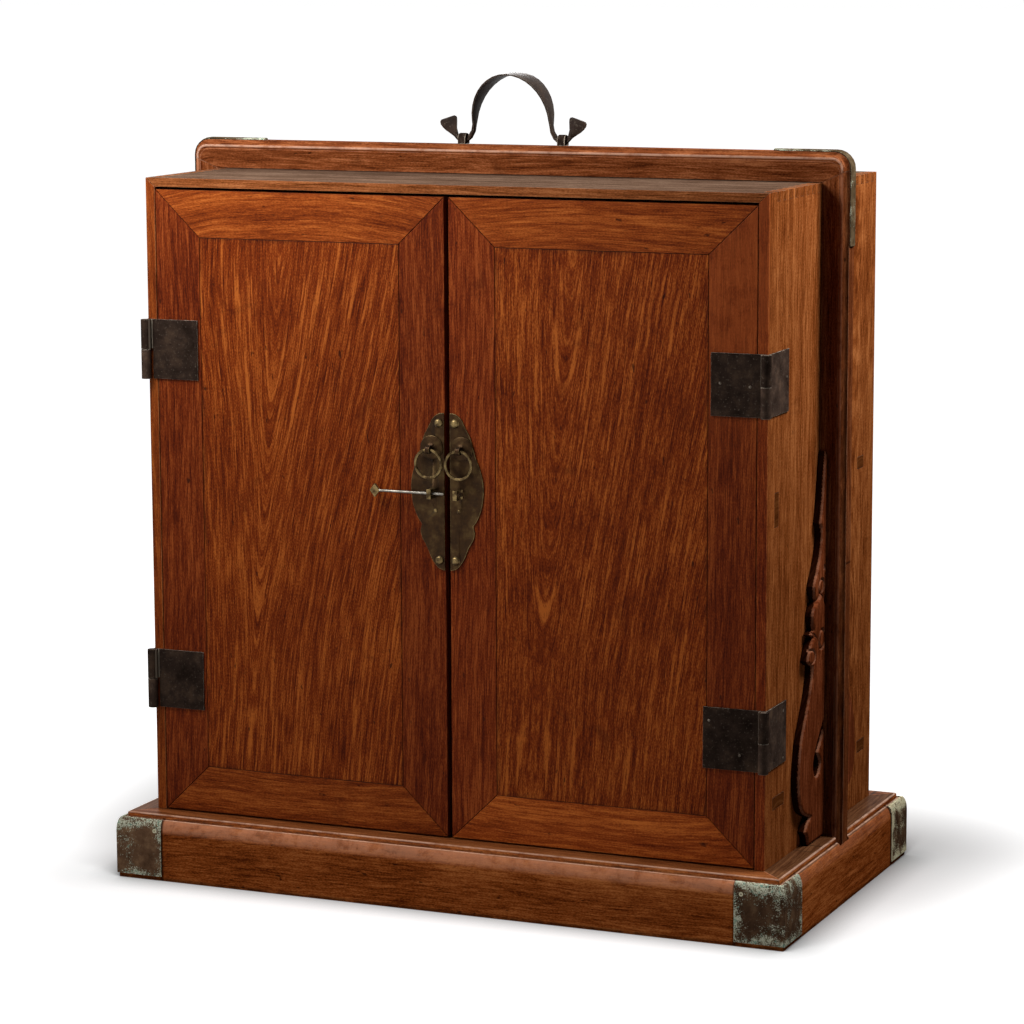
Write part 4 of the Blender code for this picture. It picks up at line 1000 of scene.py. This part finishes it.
def patinated(node, brown, distances, reach, bias, reshape, nail=None, cream=0.0):
    """Dress a sheet with a crust that follows its borders and is thickest on its cut edges."""
    skin = verdigris(node + "_skin", brown, distances, reach, bias, nail, cream)
    rim = verdigris(node + "_rim", brown, distances, reach, bias + RIM_BIAS, cream=cream)
    metal(node, [skin, rim], 0.0005, reshape=reshape)


def square_foot(bm):
    """Give a strap's lower end its full width, which narrows there in the model."""
    foot = min(vert.co.z for vert in bm.verts)
    width = max(abs(vert.co.y) for vert in bm.verts)
    ends = [vert for vert in bm.verts if vert.co.z - foot < WELD]
    narrow = max(abs(vert.co.y) for vert in ends)
    for vert in ends:
        vert.co.y *= width / narrow
    bm.normal_update()


# Nail of a corner mount, from the free end of its wing and from its top
MOUNT_NAIL_IN = 0.0069
MOUNT_NAIL_DOWN = 0.0078
# How far the crust reaches from a border, how strong it is, and on a mount how creamy, most at the far right
STRAP_CRUST_REACH = 0.050
STRAP_CRUST = -0.10
MOUNT_CRUST_REACH = 0.012
PLAIN_MOUNT = (-0.06, 0.0)
MOUNT_CRUST = {"rear_right": (0.03, 0.42)}
for x_tag, x_sign in (("left", -1), ("right", 1)):
    node = "frame_%s_strap" % x_tag
    low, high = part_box(node)
    end_x = low.x if x_sign > 0 else high.x
    patinated(node, STRAP_OLIVE, [past("x", end_x, x_sign)], STRAP_CRUST_REACH, STRAP_CRUST, square_foot)
    for y_tag, y_sign in (("front", -1), ("rear", 1)):
        node = "plinth_mount_%s_%s" % (y_tag, x_tag)
        low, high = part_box(node)
        end_x = low.x if x_sign > 0 else high.x
        end_y = low.y if y_sign > 0 else high.y
        borders = [past("x", end_x, x_sign), past("y", end_y, y_sign), past("z", low.z),
                   past("z", high.z, -1)]
        bias, cream = MOUNT_CRUST.get(y_tag + "_" + x_tag, PLAIN_MOUNT)
        nail = (end_x + x_sign * MOUNT_NAIL_IN, high.z - MOUNT_NAIL_DOWN)
        patinated(node, MOUNT_BROWN if x_sign > 0 else MOUNT_LIGHT, borders, MOUNT_CRUST_REACH, bias,
                  full_shoulder, nail, cream)


# Stage, light and camera

WHITE = (1.0, 1.0, 1.0)
FLOOR_REACH = 40.0
# How much light the floor throws back, how near a piece paints shade on it, how far off it glows plain white
FLOOR_BOUNCE = 0.25
CONTACT_REACH = 0.04
GLOW_END = 0.32
WORLD_LIGHT = 0.06
# Lamps: where they stand, what they aim at, width and height, watts, and whether they light the floor
# alone or all but the floor
LAMPS = {
    "key": ((-0.34, -0.48, 1.06), (-0.03, -0.15, 0.36), (0.45, 0.45), 11.0, "EXCLUDE"),
    "front": ((-0.9, -2.1, 0.8), (0, -0.15, 0.35), (1.0, 1.0), 10.5, "EXCLUDE"),
    "side": ((0.80, 0.10, 1.20), (0.33, 0.03, 0.36), (0.40, 0.40), 17, "EXCLUDE"),
    "rear": ((-0.9, 1.5, 1.3), (0, 0.1, 0.35), (0.9, 0.9), 28, "EXCLUDE"),
    "wash": ((0.42, -1.6, 1.5), (0, 0, 0), (3.0, 1.0), 76, "INCLUDE"),
}


def by_eye(n, bounced, seen):
    """One shader for the light that bounces, and another for camera, glossy and transmission rays."""
    path = n.node("ShaderNodeLightPath").outputs
    eye = n.math("MAXIMUM", path["Is Camera Ray"], path["Is Glossy Ray"])
    eye = n.math("MAXIMUM", eye, path["Is Transmission Ray"])
    return n.node("ShaderNodeMixShader", {0: eye, 1: bounced.outputs[0], 2: seen.outputs[0]}).outputs[0]


def stage():
    """A white floor with the chest's shadow and a painted contact shadow, glowing plain white further off."""
    mesh = bpy.data.meshes.new("floor")
    corners = [(-FLOOR_REACH, -FLOOR_REACH, 0), (FLOOR_REACH, -FLOOR_REACH, 0),
               (FLOOR_REACH, FLOOR_REACH, 0), (-FLOOR_REACH, FLOOR_REACH, 0)]
    mesh.from_pydata(corners, [], [(0, 1, 2, 3)])
    floor = bpy.data.objects.new("floor", mesh)
    bpy.context.scene.collection.objects.link(floor)
    material = bpy.data.materials.new("floor_white")
    material.use_nodes = True
    mesh.materials.append(material)
    n = Nodes(material.node_tree)
    # Ambient occlusion darkens the floor's colour and its glow near the chest: a painted contact shadow
    near = n.node("ShaderNodeAmbientOcclusion", {"Color": WHITE, "Distance": CONTACT_REACH}).outputs["Color"]
    plain = n.node("ShaderNodeBsdfDiffuse", {"Color": (FLOOR_BOUNCE, FLOOR_BOUNCE, FLOOR_BOUNCE)})
    shaded = n.node("ShaderNodeBsdfDiffuse", {"Color": near})
    away = n.node("ShaderNodeTexCoord").outputs["Object"]
    foot = (CAD_BOX[1].x, CAD_BOX[1].y, 1.0)
    for operation, value in (("ABSOLUTE", None), ("SUBTRACT", foot), ("MAXIMUM", (0, 0, 0))):
        inputs = {0: away, 1: value} if value else {0: away}
        away = n.node("ShaderNodeVectorMath", inputs, operation=operation).outputs["Vector"]
    away = n.node("ShaderNodeVectorMath", {0: away}, operation="LENGTH").outputs["Value"]
    # The floor glows, more the further it lies from the foot
    glow = n.node("ShaderNodeEmission", {"Color": near, "Strength": n.span(away, 0.0, GLOW_END)})
    seen = n.node("ShaderNodeAddShader", {0: shaded.outputs[0], 1: glow.outputs[0]})
    n.node("ShaderNodeOutputMaterial", {"Surface": by_eye(n, plain, seen)})
    return floor


def world():
    """Dim, even light from all round, seen as white."""
    made = bpy.data.worlds.new("studio")
    bpy.context.scene.world = made
    made.use_nodes = True
    n = Nodes(made.node_tree)
    dim = n.node("ShaderNodeBackground", {"Color": WHITE, "Strength": WORLD_LIGHT})
    white = n.node("ShaderNodeBackground", {"Color": WHITE, "Strength": 1.0})
    n.node("ShaderNodeOutputWorld", {"Surface": by_eye(n, dim, white)})


def lamp(name, at, target, size, watts, link, floor):
    """A soft lamp of a width and height aimed at a point, for the floor alone or for all but the floor."""
    light = bpy.data.lights.new(name, "AREA")
    light.shape = "RECTANGLE"
    light.size, light.size_y = size
    light.energy = watts
    obj = bpy.data.objects.new(name, light)
    bpy.context.scene.collection.objects.link(obj)
    obj.location = at
    way = Vector(target) - Vector(at)
    obj.rotation_euler = way.to_track_quat("-Z", "Y").to_euler()
    lit = bpy.data.collections.new(name + "_lights")
    lit.objects.link(floor)
    lit.collection_objects[0].light_linking.link_state = link
    obj.light_linking.receiver_collection = lit


def camera():
    """The photograph's view."""
    data = bpy.data.cameras.new("camera")
    data.lens = CAMERA_LENS
    data.sensor_width = CAMERA_SENSOR
    obj = bpy.data.objects.new("camera", data)
    bpy.context.scene.collection.objects.link(obj)
    level = math.cos(CAMERA_PITCH)
    ahead = Vector((-math.sin(CAMERA_YAW) * level, math.cos(CAMERA_YAW) * level, -math.sin(CAMERA_PITCH)))
    right = Vector((math.cos(CAMERA_YAW), math.sin(CAMERA_YAW), 0))
    up = right.cross(ahead)
    turn_right = math.cos(CAMERA_ROLL) * right + math.sin(CAMERA_ROLL) * up
    turn_up = -math.sin(CAMERA_ROLL) * right + math.cos(CAMERA_ROLL) * up
    columns = Matrix((turn_right, turn_up, -ahead)).transposed().to_4x4()
    columns.translation = Vector(CAMERA_AT)
    obj.matrix_world = columns
    bpy.context.scene.camera = obj


ground = stage()
world()
for name, facts in LAMPS.items():
    lamp(name, *facts, ground)
camera()
bpy.context.scene.view_settings.view_transform = "Standard"
